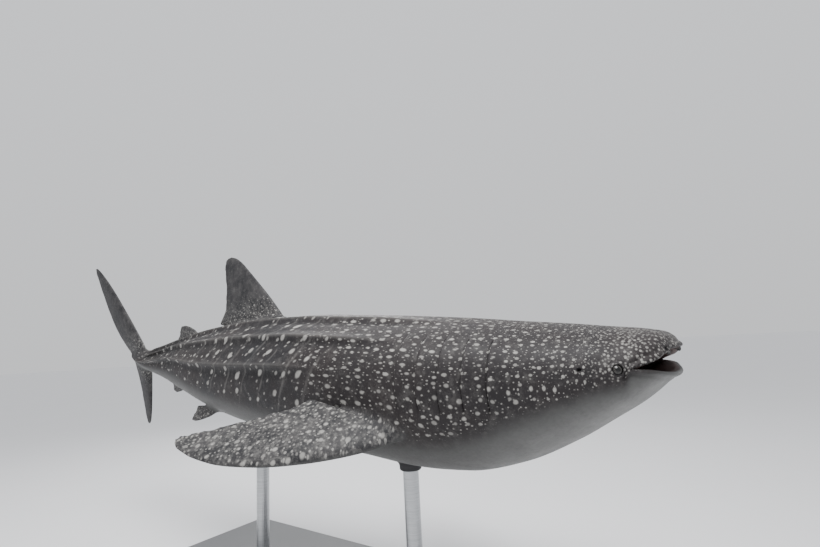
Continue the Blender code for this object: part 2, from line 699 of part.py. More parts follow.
def cylinder(name, middle, radius, low, high, collection):
    """An upright round bar between two heights."""
    bpy.ops.mesh.primitive_cylinder_add(vertices=ROD_SIDES, radius=radius, depth=high - low)
    obj = bpy.context.active_object
    obj.name = name
    obj.data.transform(Matrix.Translation((*middle, 0.5 * (low + high))))
    move_to(obj, collection)
    return obj


def move_to(obj, collection):
    """Moves an object into one collection only."""
    for holder in list(obj.users_collection):
        holder.objects.unlink(obj)
    collection.objects.link(obj)


def material(name, colour, roughness, metallic=0.0):
    """A Principled material."""
    made = bpy.data.materials.new(name)
    made.use_nodes = True
    shader = made.node_tree.nodes["Principled BSDF"]
    shader.inputs["Base Color"].default_value = colour
    shader.inputs["Roughness"].default_value = roughness
    shader.inputs["Metallic"].default_value = metallic
    return made


def main():
    """Clears the scene and builds the whale shark and its stand."""
    for obj in list(bpy.data.objects):
        bpy.data.objects.remove(obj)
    parts = bpy.data.collections.new("whale_shark")
    cutters = bpy.data.collections.new("cutters")
    for collection in (parts, cutters):
        bpy.context.scene.collection.children.link(collection)
    for name, start, end, count in SPANS:
        body_span(name, start, end, count, parts)
    make_head(parts, cutters)
    make_fins(parts, cutters)
    make_stand(parts, cutters)
    for obj in parts.objects:
        colour, rough = (EYE, 0.1) if obj.name.startswith("eye") else (SKIN, 0.5)
        if obj.name.startswith("stand"):
            colour, rough = STAND, 0.4
        obj.data.materials.clear()
        obj.data.materials.append(material(obj.name, colour, rough))


main()
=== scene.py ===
"""The looks of a life-size whale shark display model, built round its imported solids.

The animal is shaped in body coordinates, as shares of LENGTH: s runs back from the tip of the snout
along the spine, r runs to the animal's right and u runs up. Spine.place() carries them into the
world in metres, where +X is ahead, +Y is the animal's left and +Z is up.
"""

import logging
import math
from dataclasses import dataclass
from enum import Enum
from functools import cached_property

import bmesh
import bpy
import numpy as np
from mathutils import Matrix, Vector


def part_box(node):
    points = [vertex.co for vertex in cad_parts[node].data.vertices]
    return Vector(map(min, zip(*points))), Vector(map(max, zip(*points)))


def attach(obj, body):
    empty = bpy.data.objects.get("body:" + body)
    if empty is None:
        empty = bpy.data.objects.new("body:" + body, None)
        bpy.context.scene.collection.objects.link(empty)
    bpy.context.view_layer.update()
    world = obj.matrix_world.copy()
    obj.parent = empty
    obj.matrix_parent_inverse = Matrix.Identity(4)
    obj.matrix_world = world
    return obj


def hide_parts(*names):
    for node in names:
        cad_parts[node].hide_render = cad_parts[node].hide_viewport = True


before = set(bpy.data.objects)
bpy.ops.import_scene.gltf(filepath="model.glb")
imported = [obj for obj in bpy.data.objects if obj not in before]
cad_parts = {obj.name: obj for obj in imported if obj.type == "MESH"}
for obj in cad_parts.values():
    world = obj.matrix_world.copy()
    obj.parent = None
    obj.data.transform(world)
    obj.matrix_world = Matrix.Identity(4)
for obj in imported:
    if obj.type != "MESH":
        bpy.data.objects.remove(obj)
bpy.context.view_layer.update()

LOG = logging.getLogger("whale_shark")
Array = np.ndarray
Faces = list[list[int]]
Piece = bpy.types.Object
Mesh = bpy.types.Mesh
Material = bpy.types.Material
Socket = bpy.types.NodeSocket
Sockets = dict[str, Socket]
Row = tuple[float, ...]
Rows = tuple[Row, ...]

LENGTH = 7.5
BLUNT_POWER = 2.4


class Side(Enum):
    """The two sides of the animal, as the sign of r."""

    RIGHT = 1
    LEFT = -1

    @property
    def word(self) -> str:
        """The side's name in lower case."""
        return self.name.lower()


class Origin(Enum):
    """What a face of the skin grew from, as it is noted while pieces are joined."""

    BODY = 0
    FIN = 1
    LINING = 2


def hermite(x: Array, table: Rows, column: int) -> Array:
    """Smooth curve through one column of a table sorted by its first value.

    Cubic pieces whose slopes are harmonic means of the neighbouring rises, so it never overshoots.

    Args:
        x: Where to read the curve.
        table: Rows whose first value is the place.
        column: The column that is read.

    Returns:
        The curve's values, in the shape of x.
    """
    xs = np.array([row[0] for row in table])
    ys = np.array([row[column] for row in table])
    rise = np.diff(ys) / np.diff(xs)
    product = rise[1:] * rise[:-1]
    mean = 2 * product / np.where(product > 0, rise[1:] + rise[:-1], 1.0)
    slopes = np.concatenate([rise[:1], np.where(product > 0, mean, 0.0), rise[-1:]])
    x = np.clip(np.asarray(x, float), xs[0], xs[-1])
    i = np.clip(np.searchsorted(xs, x, side="right") - 1, 0, len(xs) - 2)
    step = xs[i + 1] - xs[i]
    t = (x - xs[i]) / step
    value = (2 * t**3 - 3 * t**2 + 1) * ys[i] + (3 * t**2 - 2 * t**3) * ys[i + 1]
    return value + step * ((t**3 - 2 * t**2 + t) * slopes[i] + (t**3 - t**2) * slopes[i + 1])


def ease(t: Array) -> Array:
    """0 before t = 0 and 1 after t = 1, with 3t^2 - 2t^3 between."""
    t = np.clip(t, 0.0, 1.0)
    return t * t * (3 - 2 * t)


def between(x: Array, start: float, rise: float, end: float, fall: float) -> Array:
    """1 in the middle, eased in from start over a rise, and out from end over a fall."""
    return ease((x - start) / rise) * (1 - ease((x - end) / fall))


def round_off(t: Array) -> Array:
    """From 0 at t = 0 to 1 at t = 1 along a superellipse."""
    return (1 - (1 - np.minimum(t, 1.0)) ** BLUNT_POWER) ** (1 / BLUNT_POWER)


def bell(x: Array) -> Array:
    """A bell curve of height 1: e to the power of minus x squared."""
    return np.exp(-np.square(x))


def turns(count: int) -> Array:
    """Angles of points evenly spaced round a circle."""
    return 2 * np.pi * np.arange(count) / count


def unit(vectors: Array) -> Array:
    """Vectors scaled to length 1."""
    return vectors / np.maximum(np.linalg.norm(vectors, axis=-1, keepdims=True), 1e-12)


@dataclass(frozen=True)
class Spine:
    """The line the body is threaded on: level in front, then bent, lifted and twisted to the tail."""

    height: float = 1.74
    anchor: float = 0.37
    bend: Row = (0.4, 0.8)
    yaw: float = math.radians(4.6)
    lift: float = math.radians(7.5)
    twist: float = math.radians(12.0)
    twist_start: float = 0.62
    reach: Row = (-0.05, 1.1)
    knots: int = 461
    rounds: int = 8

    def table(self) -> tuple[Array, list[Array]]:
        """Knots along the spine.

        The direction turns with an eased angle, and the centre is the running sum of its steps.

        Returns:
            The share of each knot, with the centre, right, up and backward vectors there.
        """
        share = np.linspace(*self.reach, self.knots)
        start, end = self.bend
        bend = ease((share - start) / (end - start))
        yaw, lift = self.yaw * bend, self.lift * bend
        back = np.stack([-np.cos(lift) * np.cos(yaw), np.cos(lift) * np.sin(yaw), np.sin(lift)], 1)
        step = np.diff(share)[:, None] * LENGTH
        centre = np.vstack([np.zeros(3), np.cumsum(0.5 * (back[1:] + back[:-1]) * step, axis=0)])
        held = np.array([np.interp(self.anchor, share, c) for c in centre.T])
        centre += [0.0, 0.0, self.height] - held
        right = unit(np.cross(-back, [0.0, 0.0, 1.0]))
        up = np.cross(right, -back)
        turn = self.twist * ease((share - self.twist_start) / (end - self.twist_start))[:, None]
        return share, [centre, right * np.cos(turn) - up * np.sin(turn),
                       up * np.cos(turn) + right * np.sin(turn), back]

    def axes(self, share: Array) -> list[Array]:
        """The centre, right, up and backward vectors at some shares."""
        knots, tables = self.table()
        return [np.stack([np.interp(share, knots, c) for c in t.T], -1) for t in tables]

    def place(self, points: Array) -> Array:
        """World positions of body coordinates: the centre plus r and u times their axes."""
        centre, right, up, _ = self.axes(points[..., 0])
        return centre + LENGTH * (points[..., 1:2] * right + points[..., 2:3] * up)

    def unplace(self, points: Array) -> Array:
        """Body coordinates of world positions, by sliding s until the point is square to the spine.

        Args:
            points: World positions.

        Returns:
            Rows of s, r and u.
        """
        share = self.anchor - points[..., 0] / LENGTH
        for _ in range(self.rounds):
            centre, right, up, back = self.axes(share)
            share = share + ((points - centre) * back).sum(-1) / LENGTH
        gap = (points - centre) / LENGTH
        return np.stack([share, (gap * right).sum(-1), (gap * up).sum(-1)], -1)


SPINE = Spine()


@dataclass(frozen=True)
class Gills:
    """Five slits on each side, each under the rear edge of a flap.

    Each row of slit_rings is one ring at a slit: how far it lies behind the slit, how far its flesh
    slides back, and how far it stands out, as a share of the flap's rise or of the slit's depth.
    """

    first: float = 0.108
    pitch: float = 0.019
    count: int = 5
    flap: float = 0.0034
    depth: float = 0.006
    middle: float = 75.0
    half: float = 30.0
    bow: float = 0.0016
    flap_rings: int = 6
    bowed: Row = (0.088, 0.02, 0.186, 0.03)
    slit_rings: Rows = (
        (-0.003, 0.0, 0.84), (-0.002, 0.0, 0.95), (-0.0012, 0.0003, 1.0), (-0.0006, 0.0009, 0.96),
        (-0.0002, 0.0013, 0.72), (0.0001, 0.0012, 0.3), (0.0004, 0.0004, -0.15),
        (0.0006, -0.0006, -0.55), (0.0008, -0.0012, -0.9), (0.001, -0.0009, -1.0),
        (0.0013, -0.0002, -0.85), (0.0017, 0.0001, -0.4), (0.0022, 0.0, -0.1), (0.003, 0.0, 0.0))

    @property
    def slits(self) -> Array:
        """The share of each slit."""
        return self.first + self.pitch * np.arange(self.count)

    def window(self, side: Array) -> Array:
        """1 over the middle of the slits, easing to 0 at their upper and lower ends."""
        return ease(1.7 * (1 - np.abs(side - self.middle) / self.half))

    def slide(self, share: Array, side: Array) -> Array:
        """How far the slits' upper and lower ends lie behind their middles: a parabola.

        Args:
            share: Distance back of each point.
            side: Angle down from the top of the back.

        Returns:
            The distance, easing to 0 ahead of the first slit and behind the last.
        """
        away = np.clip((side - self.middle) / self.half, -1.3, 1.3)
        return self.bow * between(share, *self.bowed) * away**2

    def rings(self) -> Array:
        """The rings round all slits. Between slits, a flap rises as the power 1.5 of its length.

        Returns:
            Rows of share, slide and lift, from ahead of the first slit to behind the last.
        """
        rows = []
        for slit in self.slits:
            start, end = slit - self.pitch + self.slit_rings[-1][0], slit + self.slit_rings[0][0]
            for share in np.linspace(start, end, self.flap_rings + 2)[1:-1]:
                grown = np.clip((share - slit + self.pitch) / self.pitch, 0, 1)
                rows.append((share, 0.0, self.flap * grown**1.5))
            for gap, back, lift in self.slit_rings:
                rows.append((slit + gap, back, lift * (self.flap if lift > 0 else self.depth)))
        return np.array(rows)


@dataclass(frozen=True)
class Form:
    """The body's sections, ridges and mouth, before fins are joined to it.

    Profile rows hold the share, half width, top, bottom and level of greatest width. A ridge is its
    angle and the share where it starts; keel holds where the tail's keel starts, peaks and ends.
    """

    profile: Rows = (
        (0.0, 0.034, 0.0145, -0.0075, 0.0008), (0.01, 0.0505, 0.0226, -0.0125, 0.0008),
        (0.023, 0.059, 0.0254, -0.023, 0.0008), (0.0275, 0.0612, 0.0262, -0.026, -0.0066),
        (0.04, 0.066, 0.0276, -0.0335, -0.008), (0.07, 0.0725, 0.0319, -0.0515, -0.0105),
        (0.11, 0.078, 0.0369, -0.07, -0.0118), (0.155, 0.081, 0.0429, -0.0815, -0.0105),
        (0.2, 0.0812, 0.0481, -0.0842, -0.007), (0.27, 0.0785, 0.0552, -0.0795, -0.001),
        (0.35, 0.0725, 0.0618, -0.073, 0.0035), (0.44, 0.0625, 0.0642, -0.0622, 0.005),
        (0.53, 0.049, 0.0585, -0.0485, 0.0085), (0.62, 0.0335, 0.0455, -0.032, 0.0125),
        (0.7, 0.0215, 0.0285, -0.02, 0.007), (0.76, 0.0145, 0.0175, -0.0165, 0.001),
        (0.815, 0.0082, 0.0125, -0.013, -0.0005), (0.838, 0.0045, 0.008, -0.0092, -0.001),
        (0.856, 0.0012, 0.0025, -0.0035, -0.001))
    snout: float = 0.01
    blunt: float = 0.005
    square_head: float = 0.8
    square_body: float = 0.96
    corner: float = 0.023
    mouth_half: float = 0.0585
    mouth_open: float = 0.04
    upper_rise: float = 0.01
    lower_drop: float = 0.005
    setback: float = 0.0022
    throat: float = 0.076
    ridges: Rows = ((26.0, 0.14), (54.0, 0.17), (84.0, 0.26))
    ridge_rise: float = 0.1
    ridge_end: Row = (0.72, 0.05)
    ridge_height: float = 0.0042
    ridge_above: float = 8.5
    ridge_below: float = 5.0
    groove: float = 0.22
    keel: Row = (0.6, 0.745, 0.775)
    keel_fall: float = 0.035
    keel_height: float = 0.0095
    keel_foot: float = 10.0
    gills: Gills = Gills()

    def widest(self, share: Array) -> Array:
        """Half width of the plan: the profile, rounded off at the snout."""
        return hermite(share, self.profile, 1) * round_off(share / self.snout)

    def level(self, share: Array) -> Array:
        """Height of the greatest width."""
        return hermite(share, self.profile, 4)

    def end(self, share: Array, upper: Array) -> Array:
        """Height of a section's top for its upper half, and of its bottom for its lower half."""
        return np.where(upper, hermite(share, self.profile, 2), hermite(share, self.profile, 3))

    def square(self, share: Array) -> Array:
        """Power that squares the sections off, more at the head than on the trunk."""
        return self.square_head + (self.square_body - self.square_head) * ease((share - 0.06) / 0.2)

    def mouth(self, share: Array) -> tuple[Array, Array]:
        """Half width and openness of the mouth's inside."""
        openness = 1 - ease((share - self.mouth_open) / (self.throat - self.mouth_open))
        return self.mouth_half * (0.45 + 0.55 * openness), openness

    def lip_rise(self, upper: Array) -> Array:
        """How far each lip's middle bows from the mouth's level."""
        return np.where(upper, self.upper_rise, -self.lower_drop)

    def lip_line(self, r: Array, share: Array, upper: Array) -> Array:
        """Height of a lip's edge across the mouth: a parabola from corner to corner."""
        half, openness = self.mouth(share)
        return self.level(share) + self.lip_rise(upper) * openness * np.clip(1 - (r / half) ** 2, 0, 1)

    def relief(self, share: Array, side: Array) -> Array:
        """How far ridges and keels stand out: tents with a long slope above and a short one below.

        Args:
            share: Distance back of each point.
            side: Angle down from the top of the back.

        Returns:
            The height over the plain section, with a shallow groove under each ridge.
        """
        lift = np.zeros(np.broadcast(share, side).shape)
        for angle, start in self.ridges:
            grown = between(share, start, self.ridge_rise, *self.ridge_end)
            foot = np.where(side < angle, self.ridge_above, self.ridge_below)
            tent = np.clip(1 - np.abs(side - angle) / foot, 0, 1) ** 1.3
            under = bell((side - angle - 1.6 * self.ridge_below) / (0.8 * self.ridge_below))
            lift += self.ridge_height * grown * (tent - self.groove * under)
        rise, peak, end = self.keel
        keel = between(share, rise, peak - rise, end, self.keel_fall)
        tent = np.clip(1 - np.abs(side - self.ridges[-1][0]) / self.keel_foot, 0, 1) ** 1.7
        return lift + self.keel_height * keel * tent

    def contour(self, share: Array, side: Array, upper: Array, lift: Array | float = 0.0) -> Array:
        """Body coordinates of right-hand skin points.

        Each section is a superellipse quarter above and below its widest level, whose height is
        the lip's edge where there is a mouth, swollen outwards by the relief and the lift.

        Args:
            share: Distance back of each point.
            side: Angle down from the top of the back, 0 to 180 degrees.
            upper: Whether a point belongs to the upper half.
            lift: Extra height over the section.

        Returns:
            Points with r and u of the right side.
        """
        wide, power = self.widest(share), self.square(share)
        edge = self.lip_line(np.minimum(wide, self.mouth_half), share, upper)
        far = self.end(share, upper) - edge
        across, rise = np.sin(np.radians(side)), np.abs(np.cos(np.radians(side)))
        r = wide * np.clip(across, 0, 1) ** power
        u = far * round_off(share / self.blunt) * rise**power
        grow = 1 + (self.relief(share, side) + lift) / (np.hypot(r, u) + 1e-6)
        return np.stack([np.broadcast_to(share, r.shape), r * grow, edge + u * grow], -1)


@dataclass
class BodyGrid:
    """The whole trunk, head and mouth lining as one grid of rings round the body.

    Rings run from the end of the throat forward along the lining, over the lips and back along the
    outside to the tail. Points of a ring run from the top down the right side and up the left.
    Spans hold where a run of evenly spaced rings starts and ends, and the step between them.
    """

    form: Form
    half_count: int = 43
    joint: float = 0.042
    lining_count: int = 17
    snout_count: int = 27
    lip_radius: float = 0.0019
    lip_height: float = 0.0011
    head_step: float = 0.0017
    trunk_spans: Rows = ((0.262, 0.0023), (0.72, 0.0029), (0.856, 0.0025))
    setback_end: float = 0.018
    edge_rounds: int = 14
    joint_rounds: int = 10

    def side_angles(self) -> Array:
        """Angles from 0 to 180, closer together at the ridges, with 90 in the middle.

        The running sum of a density, with a bell at each ridge, is cut into even steps.

        Returns:
            The angle of each point of a ring's right half.
        """
        fine = np.linspace(0, 180, 3601)
        dense = 1.0 + sum(1.5 * bell((fine - angle) / 5.5) for angle, _ in self.form.ridges)
        dense -= 0.25 * ease((fine - 125) / 20)
        run = np.concatenate([[0.0], np.cumsum(0.5 * (dense[1:] + dense[:-1]))])
        middle = run[len(fine) // 2]
        steps = np.linspace(0, 1, self.half_count + 1)
        marks = np.concatenate([steps * middle, middle + steps[1:] * (run[-1] - middle)])
        return np.interp(marks, run, fine)

    def lip_places(self) -> tuple[Array, Array]:
        """Even steps along the lip, from its middle to the corner and back again.

        Returns:
            The share and half width of each step.
        """
        share = self.form.corner * np.linspace(0, 1, 4001) ** 2
        wide = np.minimum(self.form.widest(share), self.form.mouth_half)
        run = np.concatenate([[0.0], np.cumsum(np.hypot(np.diff(share), np.diff(wide)))])
        marks = np.linspace(0, run[-1], self.half_count + 1)
        marks = np.concatenate([marks, marks[-2::-1]])
        return np.interp(marks, run, share), np.interp(marks, run, wide)

    def snout_rings(self, side: Array, upper: Array) -> Array:
        """The outside of the snout, on the right-hand half of the head.

        Each rib starts on the lip. Near the middle, its distance from the middle plane runs evenly
        from the lip to the joint, and its angle is the arcsine that gives this distance. Towards the
        corners its angle goes from the lip's to the joint's, fast at first.

        Args:
            side: Angles of the ring at the joint.
            upper: Whether each point belongs to the upper half.

        Returns:
            Rings from lip to joint.
        """
        form = self.form
        lip, width = self.lip_places()
        steps = self.half_count + 1
        part = np.concatenate([np.linspace(0, 1, steps), np.linspace(1, 0, steps)[1:]])
        t = np.linspace(0, 1, self.snout_count + 1)[:, None]
        s = lip + (self.joint - lip) * t ** (2.0 - 0.9 * part**2)
        last = form.widest(self.joint) * np.sin(np.radians(side)) ** form.square(self.joint)
        reach = np.clip((width * (1 - t) + last * t) / np.maximum(form.widest(s), 1e-9), 0, 1)
        angle = np.degrees(np.arcsin(reach ** (1 / form.square(s))))
        folded = np.where(upper, side, 180 - side)
        turned = 90 - (90 - folded) * (1 - (1 - t) ** 2.5)
        angle += ease((part - 0.5) / 0.22) * (turned - angle)
        return form.contour(s, np.where(upper, angle, 180 - angle), upper)

    def lining_rings(self, upper: Array) -> Array:
        """The mouth's inside, on the right-hand half of the head.

        Each rib keeps its share of the mouth's width. Its height is the lips' parabola, vaulted over
        the first part, and a thin gap keeps roof and floor apart.

        Args:
            upper: Whether each point belongs to the upper half.

        Returns:
            Rings from throat to lip.
        """
        form = self.form
        lip, width = self.lip_places()
        t = np.linspace(1, 0, self.lining_count + 1)[:-1, None]
        s = lip + (form.throat - lip) * t**1.4
        half, openness = form.mouth(s)
        across = width / form.mouth_half
        rise = form.lip_rise(upper) * openness * (1 - across**2)
        vault = 1.1 * between(s, 0.0, 0.03, 0.045, 0.03) * np.clip(1.25 * (1 - across), 0, 1)
        thin = np.where(upper, 1.0, -1.0) * 0.0002 * (1 - across)
        return np.stack([s, across * half, form.level(s) + rise * (1 + vault) + thin], -1)

    def trunk_rings(self, side: Array, upper: Array) -> Array:
        """The outside behind the snout, on the right-hand half.

        Args:
            side: Angles of each ring.
            upper: Whether each point belongs to the upper half.

        Returns:
            Rings from behind the joint to the tail's tip, with the gill slits among them.
        """
        gills = self.form.gills
        slits = gills.rings()
        start, joints = slits[-1, 0], np.array([end for end, _ in self.trunk_spans])
        plain = [np.linspace(self.joint, slits[0, 0],
                             int((slits[0, 0] - self.joint) / self.head_step) + 2)[1:-1]]
        for end, step in self.trunk_spans:
            plain.append(np.linspace(start, end, int((end - start) / step) + 2)[1:-1])
            start = end
        shares = np.concatenate([*plain, joints])
        rows = np.vstack([np.column_stack([shares, 0 * shares, 0 * shares]), slits])
        share, slide, lift = rows[np.argsort(rows[:, 0])].T[..., None]
        window = gills.window(side)
        moved = share + gills.slide(share, side) + slide * window
        return self.form.contour(moved, side, upper, lift * window)

    def points(self) -> Array:
        """Body coordinates of the whole grid, with the lips rounded and swollen.

        The lip's edge is rounded by averaging each rib along its length under a bell of weights,
        and the joint behind the snout is smoothed in the same way. Then a bell-shaped swelling
        behind the edge, and a groove behind that, go along the normals.

        Returns:
            An array of rings, points and coordinates.
        """
        side = self.side_angles()
        upper = np.arange(len(side)) <= self.half_count
        inside, outside = self.lining_rings(upper), self.snout_rings(side, upper)
        for rings in (outside, inside):
            back = self.form.setback * (1 - ease(rings[..., 0] / self.setback_end))
            rings[..., 0] += np.where(upper, 0.0, back)
        right = np.vstack([inside, outside, self.trunk_rings(side, upper)])
        grid = np.concatenate([right, right[:, -2:0:-1] * [1, -1, 1]], axis=1)
        edge = len(inside)
        weight = 0.55 * bell((np.arange(len(grid)) - edge) / 6.0)[1:-1, None, None]
        for _ in range(self.edge_rounds):
            grid[1:-1] += weight * (0.5 * (grid[:-2] + grid[2:]) - grid[1:-1])
        joint = edge + self.snout_count
        zone = grid[joint - 14:joint + 12]
        for _ in range(self.joint_rounds):
            zone[1:-1] += 0.5 * (0.5 * (zone[:-2] + zone[2:]) - zone[1:-1])
        run = np.linalg.norm(np.diff(grid, axis=0, prepend=grid[:1]), axis=2).cumsum(axis=0)
        run -= run[edge]
        radius = self.lip_radius
        swell = bell((run - 1.1 * radius) / radius) - 0.45 * bell((run - 3.6 * radius) / (0.8 * radius))
        swell += 0.6 * bell((run + 1.3 * radius) / radius)
        near = (np.abs(np.arange(len(grid)) - edge) < self.snout_count)[:, None]
        return grid + (self.lip_height * swell * near)[..., None] * self.normals(grid)

    def normals(self, grid: Array) -> Array:
        """Outward normals: the cross product of the steps along and round the grid."""
        around = np.roll(grid, -1, axis=1) - np.roll(grid, 1, axis=1)
        return unit(np.cross(np.gradient(grid, axis=0), around))

    def mesh(self, name: str) -> Piece:
        """The closed body, with the throat and the tail's tip shut by strips across their rings.

        Args:
            name: The object's name.

        Returns:
            The body, whose faces are marked as skin or mouth lining.
        """
        grid = self.points()
        rings, count = grid.shape[:2]
        faces = ring_faces(rings, count)
        half = self.half_count
        index = np.arange(-half, half + 1)
        top, low = index % count, np.where(index < 0, -2 * half - index, 2 * half - index) % count
        throat = zip_faces(top, low)
        last = (rings - 1) * count
        step = np.arange(0, count // 2 + 1)
        tail = zip_faces(last + step, last + (-step) % count)
        body = solid(name, SPINE.place(grid).reshape(-1, 3), faces + throat + tail)
        kinds = np.full(len(faces + throat + tail), Origin.BODY.value)
        kinds[:self.lining_count * count] = Origin.LINING.value
        kinds[len(faces):len(faces + throat)] = Origin.LINING.value
        write(body.data, "origin", kinds, "FACE")
        return body


def ring_faces(rings: int, count: int, closed: bool = False) -> Faces:
    """Quads between neighbouring closed rings of points.

    Args:
        rings: How many rings.
        count: How many points in each.
        closed: Whether the last ring is joined to the first.

    Returns:
        Vertex indices of each face.
    """
    i, j = np.meshgrid(np.arange(rings if closed else rings - 1), np.arange(count), indexing="ij")
    a, b = i * count + j, i * count + (j + 1) % count
    return (np.stack([a, b, b + count, a + count], -1).reshape(-1, 4) % (rings * count)).tolist()


def zip_faces(first: Array, second: Array) -> Faces:
    """Faces that shut a ring by joining two chains of its points that meet at both ends."""
    quads = np.stack([first[:-1], first[1:], second[1:], second[:-1]], -1).tolist()
    return [list(dict.fromkeys(quad)) for quad in quads]


def show(name: str, data: bpy.types.ID) -> Piece:
    """Puts a mesh, light or camera into the scene as an object at the origin.

    Args:
        name: The object's name.
        data: What it shows.

    Returns:
        The object.
    """
    obj = bpy.data.objects.new(name, data)
    bpy.context.scene.collection.objects.link(obj)
    return obj


def solid(name: str, points: Array, faces: Faces) -> Piece:
    """A closed, smooth-shaded mesh object with its faces turned outwards.

    Args:
        name: The piece's name.
        points: World positions of its vertices.
        faces: Vertex indices of each face.

    Returns:
        The object.
    """
    mesh = bpy.data.meshes.new(name)
    mesh.from_pydata(points.tolist(), [], faces)
    shape = bmesh.new()
    shape.from_mesh(mesh)
    bmesh.ops.recalc_face_normals(shape, faces=shape.faces)
    if shape.calc_volume(signed=True) < 0:
        bmesh.ops.reverse_faces(shape, faces=shape.faces)
    shape.to_mesh(mesh)
    shape.free()
    mesh.shade_smooth()
    return show(name, mesh)


def capped(name: str, rings: Array, first: Array, last: Array) -> Piece:
    """A closed piece made of rings, shut at each end by triangles that meet at a pole.

    Args:
        name: The piece's name.
        rings: An array of rings, points and coordinates.
        first: The pole beside the first ring.
        last: The pole beside the last ring.

    Returns:
        The object.
    """
    rows, count = rings.shape[:2]
    total = rows * count
    faces = ring_faces(rows, count)
    for start, pole in ((0, total), (total - count, total + 1)):
        faces += [[start + k, start + (k + 1) % count, pole] for k in range(count)]
    return solid(name, np.vstack([rings.reshape(-1, 3), first, last]), faces)


def coordinates(mesh: Mesh) -> Array:
    """The mesh's points as an array of rows."""
    return gather(mesh.vertices, "co", 3, float).reshape(-1, 3)


def set_coordinates(mesh: Mesh, points: Array) -> None:
    """Writes points back into a mesh."""
    mesh.vertices.foreach_set("co", points.astype(np.float32).ravel())
    mesh.update()


def gather(items: bpy.types.bpy_prop_collection, name: str, width: int, kind: type) -> Array:
    """One property of all items as a flat array.

    Args:
        items: Vertices, edges, faces, corners or the values of an attribute.
        name: The property.
        width: How many numbers it holds for each item.
        kind: The numbers' type.

    Returns:
        The numbers.
    """
    values = np.empty(len(items) * width, kind)
    items.foreach_get(name, values)
    return values


def write(mesh: Mesh, name: str, values: Array, domain: str = "POINT") -> None:
    """Adds an attribute to a mesh: whole numbers, numbers or vectors, by the shape of the values.

    Args:
        mesh: The mesh that carries it.
        name: The attribute's name.
        values: One value or one row for each vertex or face.
        domain: What the values belong to.
    """
    whole = values.dtype.kind == "i"
    kind = "FLOAT_VECTOR" if values.ndim == 2 else "INT" if whole else "FLOAT"
    made = mesh.attributes.new(name, kind, domain)
    flat = values.astype(np.int32 if whole else np.float32).ravel()
    made.data.foreach_set("vector" if values.ndim == 2 else "value", flat)


@dataclass(frozen=True)
class Fin:
    """One fin: an outline carried on a plane, with a wing section across it.

    Each outline row is a front-edge point and a rear-edge point, from the root inside the body out
    to the tip. Upright fins use (s, u); paired fins use (s, distance out). Each row of waves is a
    rate, a height and a share of the seed, for one sine of the rear edge's wavering.
    """

    name: str
    rows: Rows
    thickness: float
    steps: int = 5
    chord_steps: int = 22
    edge: float = 0.0022 / LENGTH
    flare: float = 0.45
    ragged: float = 0.0009
    seed: float = 0.0
    waves: Rows = ((5.3, 1.0, 1.0), (11.9, 0.7, 2.0), (23.0, 0.4, 0.0))

    def to_body(self, flat: Array, offset: Array) -> Array:
        """Body coordinates of outline points moved off the fin's middle plane."""
        return np.stack([flat[..., 0], offset, flat[..., 1]], -1)

    def far(self, q: Array) -> Array:
        """How far each row lies from the root, as a share of the way to the tip."""
        return q / q[-1]

    def wavering(self, q: Array) -> Array:
        """How strongly the rear edge wavers at each row: not at all near the root."""
        return ease((q - 1.5) / 1.5)

    def girth(self, q: Array, chord: Array) -> Array:
        """Thickness of each row before the tip's taper: less on a short chord, more at the root."""
        short = np.clip(chord / chord[self.steps], 0, 1)
        return short * (1 + self.flare * bell(np.maximum(q - 0.7, 0) / 0.75))

    def section(self) -> tuple[Array, Array, Array]:
        """The wing section, as points round it from the rear edge and back.

        It runs along the chord as (1 + cos a) / 2 and stands off it by
        0.2969 sqrt(x) - 0.126x - 0.3516x^2 + 0.2843x^3 - 0.1015x^4.

        Returns:
            The place along the chord, the wing's height, and the height of the edge's rim.
        """
        turn = turns(2 * self.chord_steps)
        x = 0.5 * (1 + np.cos(turn))
        wing = 0.2969 * np.sqrt(x) - 0.126 * x - 0.3516 * x**2 + 0.2843 * x**3 - 0.1015 * x**4
        rim = np.sqrt(np.clip(np.minimum(x, 1 - x) / 0.01, 0, 1))
        sign = np.sign(np.round(np.sin(turn), 9))
        return x, sign * wing, sign * rim

    def mesh(self) -> Piece:
        """The fin as a closed tube of sections.

        Both edges are smooth curves through the outline, and the rear one wavers. The thickness
        falls towards the tip as three quarters of a quarter circle and a quarter of a straight line.

        Returns:
            The fin's object.
        """
        table = tuple((float(i), *row) for i, row in enumerate(self.rows))
        q = np.linspace(0, len(self.rows) - 1, (len(self.rows) - 1) * self.steps + 1)
        front, rear = (np.stack([hermite(q, table, k), hermite(q, table, k + 1)], 1) for k in (1, 3))
        chord = np.linalg.norm(rear - front, axis=1)
        wave = sum(height * np.sin(rate * q + part * self.seed) for rate, height, part in self.waves)
        wave = 0.5 * self.ragged * wave * self.wavering(q)
        rear = rear + unit(rear - front) * wave[:, None]
        far = self.far(q)
        taper = 0.75 * np.sqrt(np.clip(1 - far**2, 0, 1)) + 0.25 * (1 - far)
        taper = 5.0 * self.thickness * (taper * self.girth(q, chord))[:, None]
        x, wing, rim = self.section()
        flat = front[:, None] * (1 - x[None, :, None]) + rear[:, None] * x[None, :, None]
        points = SPINE.place(self.to_body(flat, taper * wing + self.edge * rim))
        rings, count = points.shape[:2]
        faces = ring_faces(rings, count)
        step = np.arange(0, self.chord_steps + 1)
        for start in (0, (rings - 1) * count):
            faces += zip_faces(start + step, start + (-step) % count)
        return solid(self.name, points.reshape(-1, 3), faces)


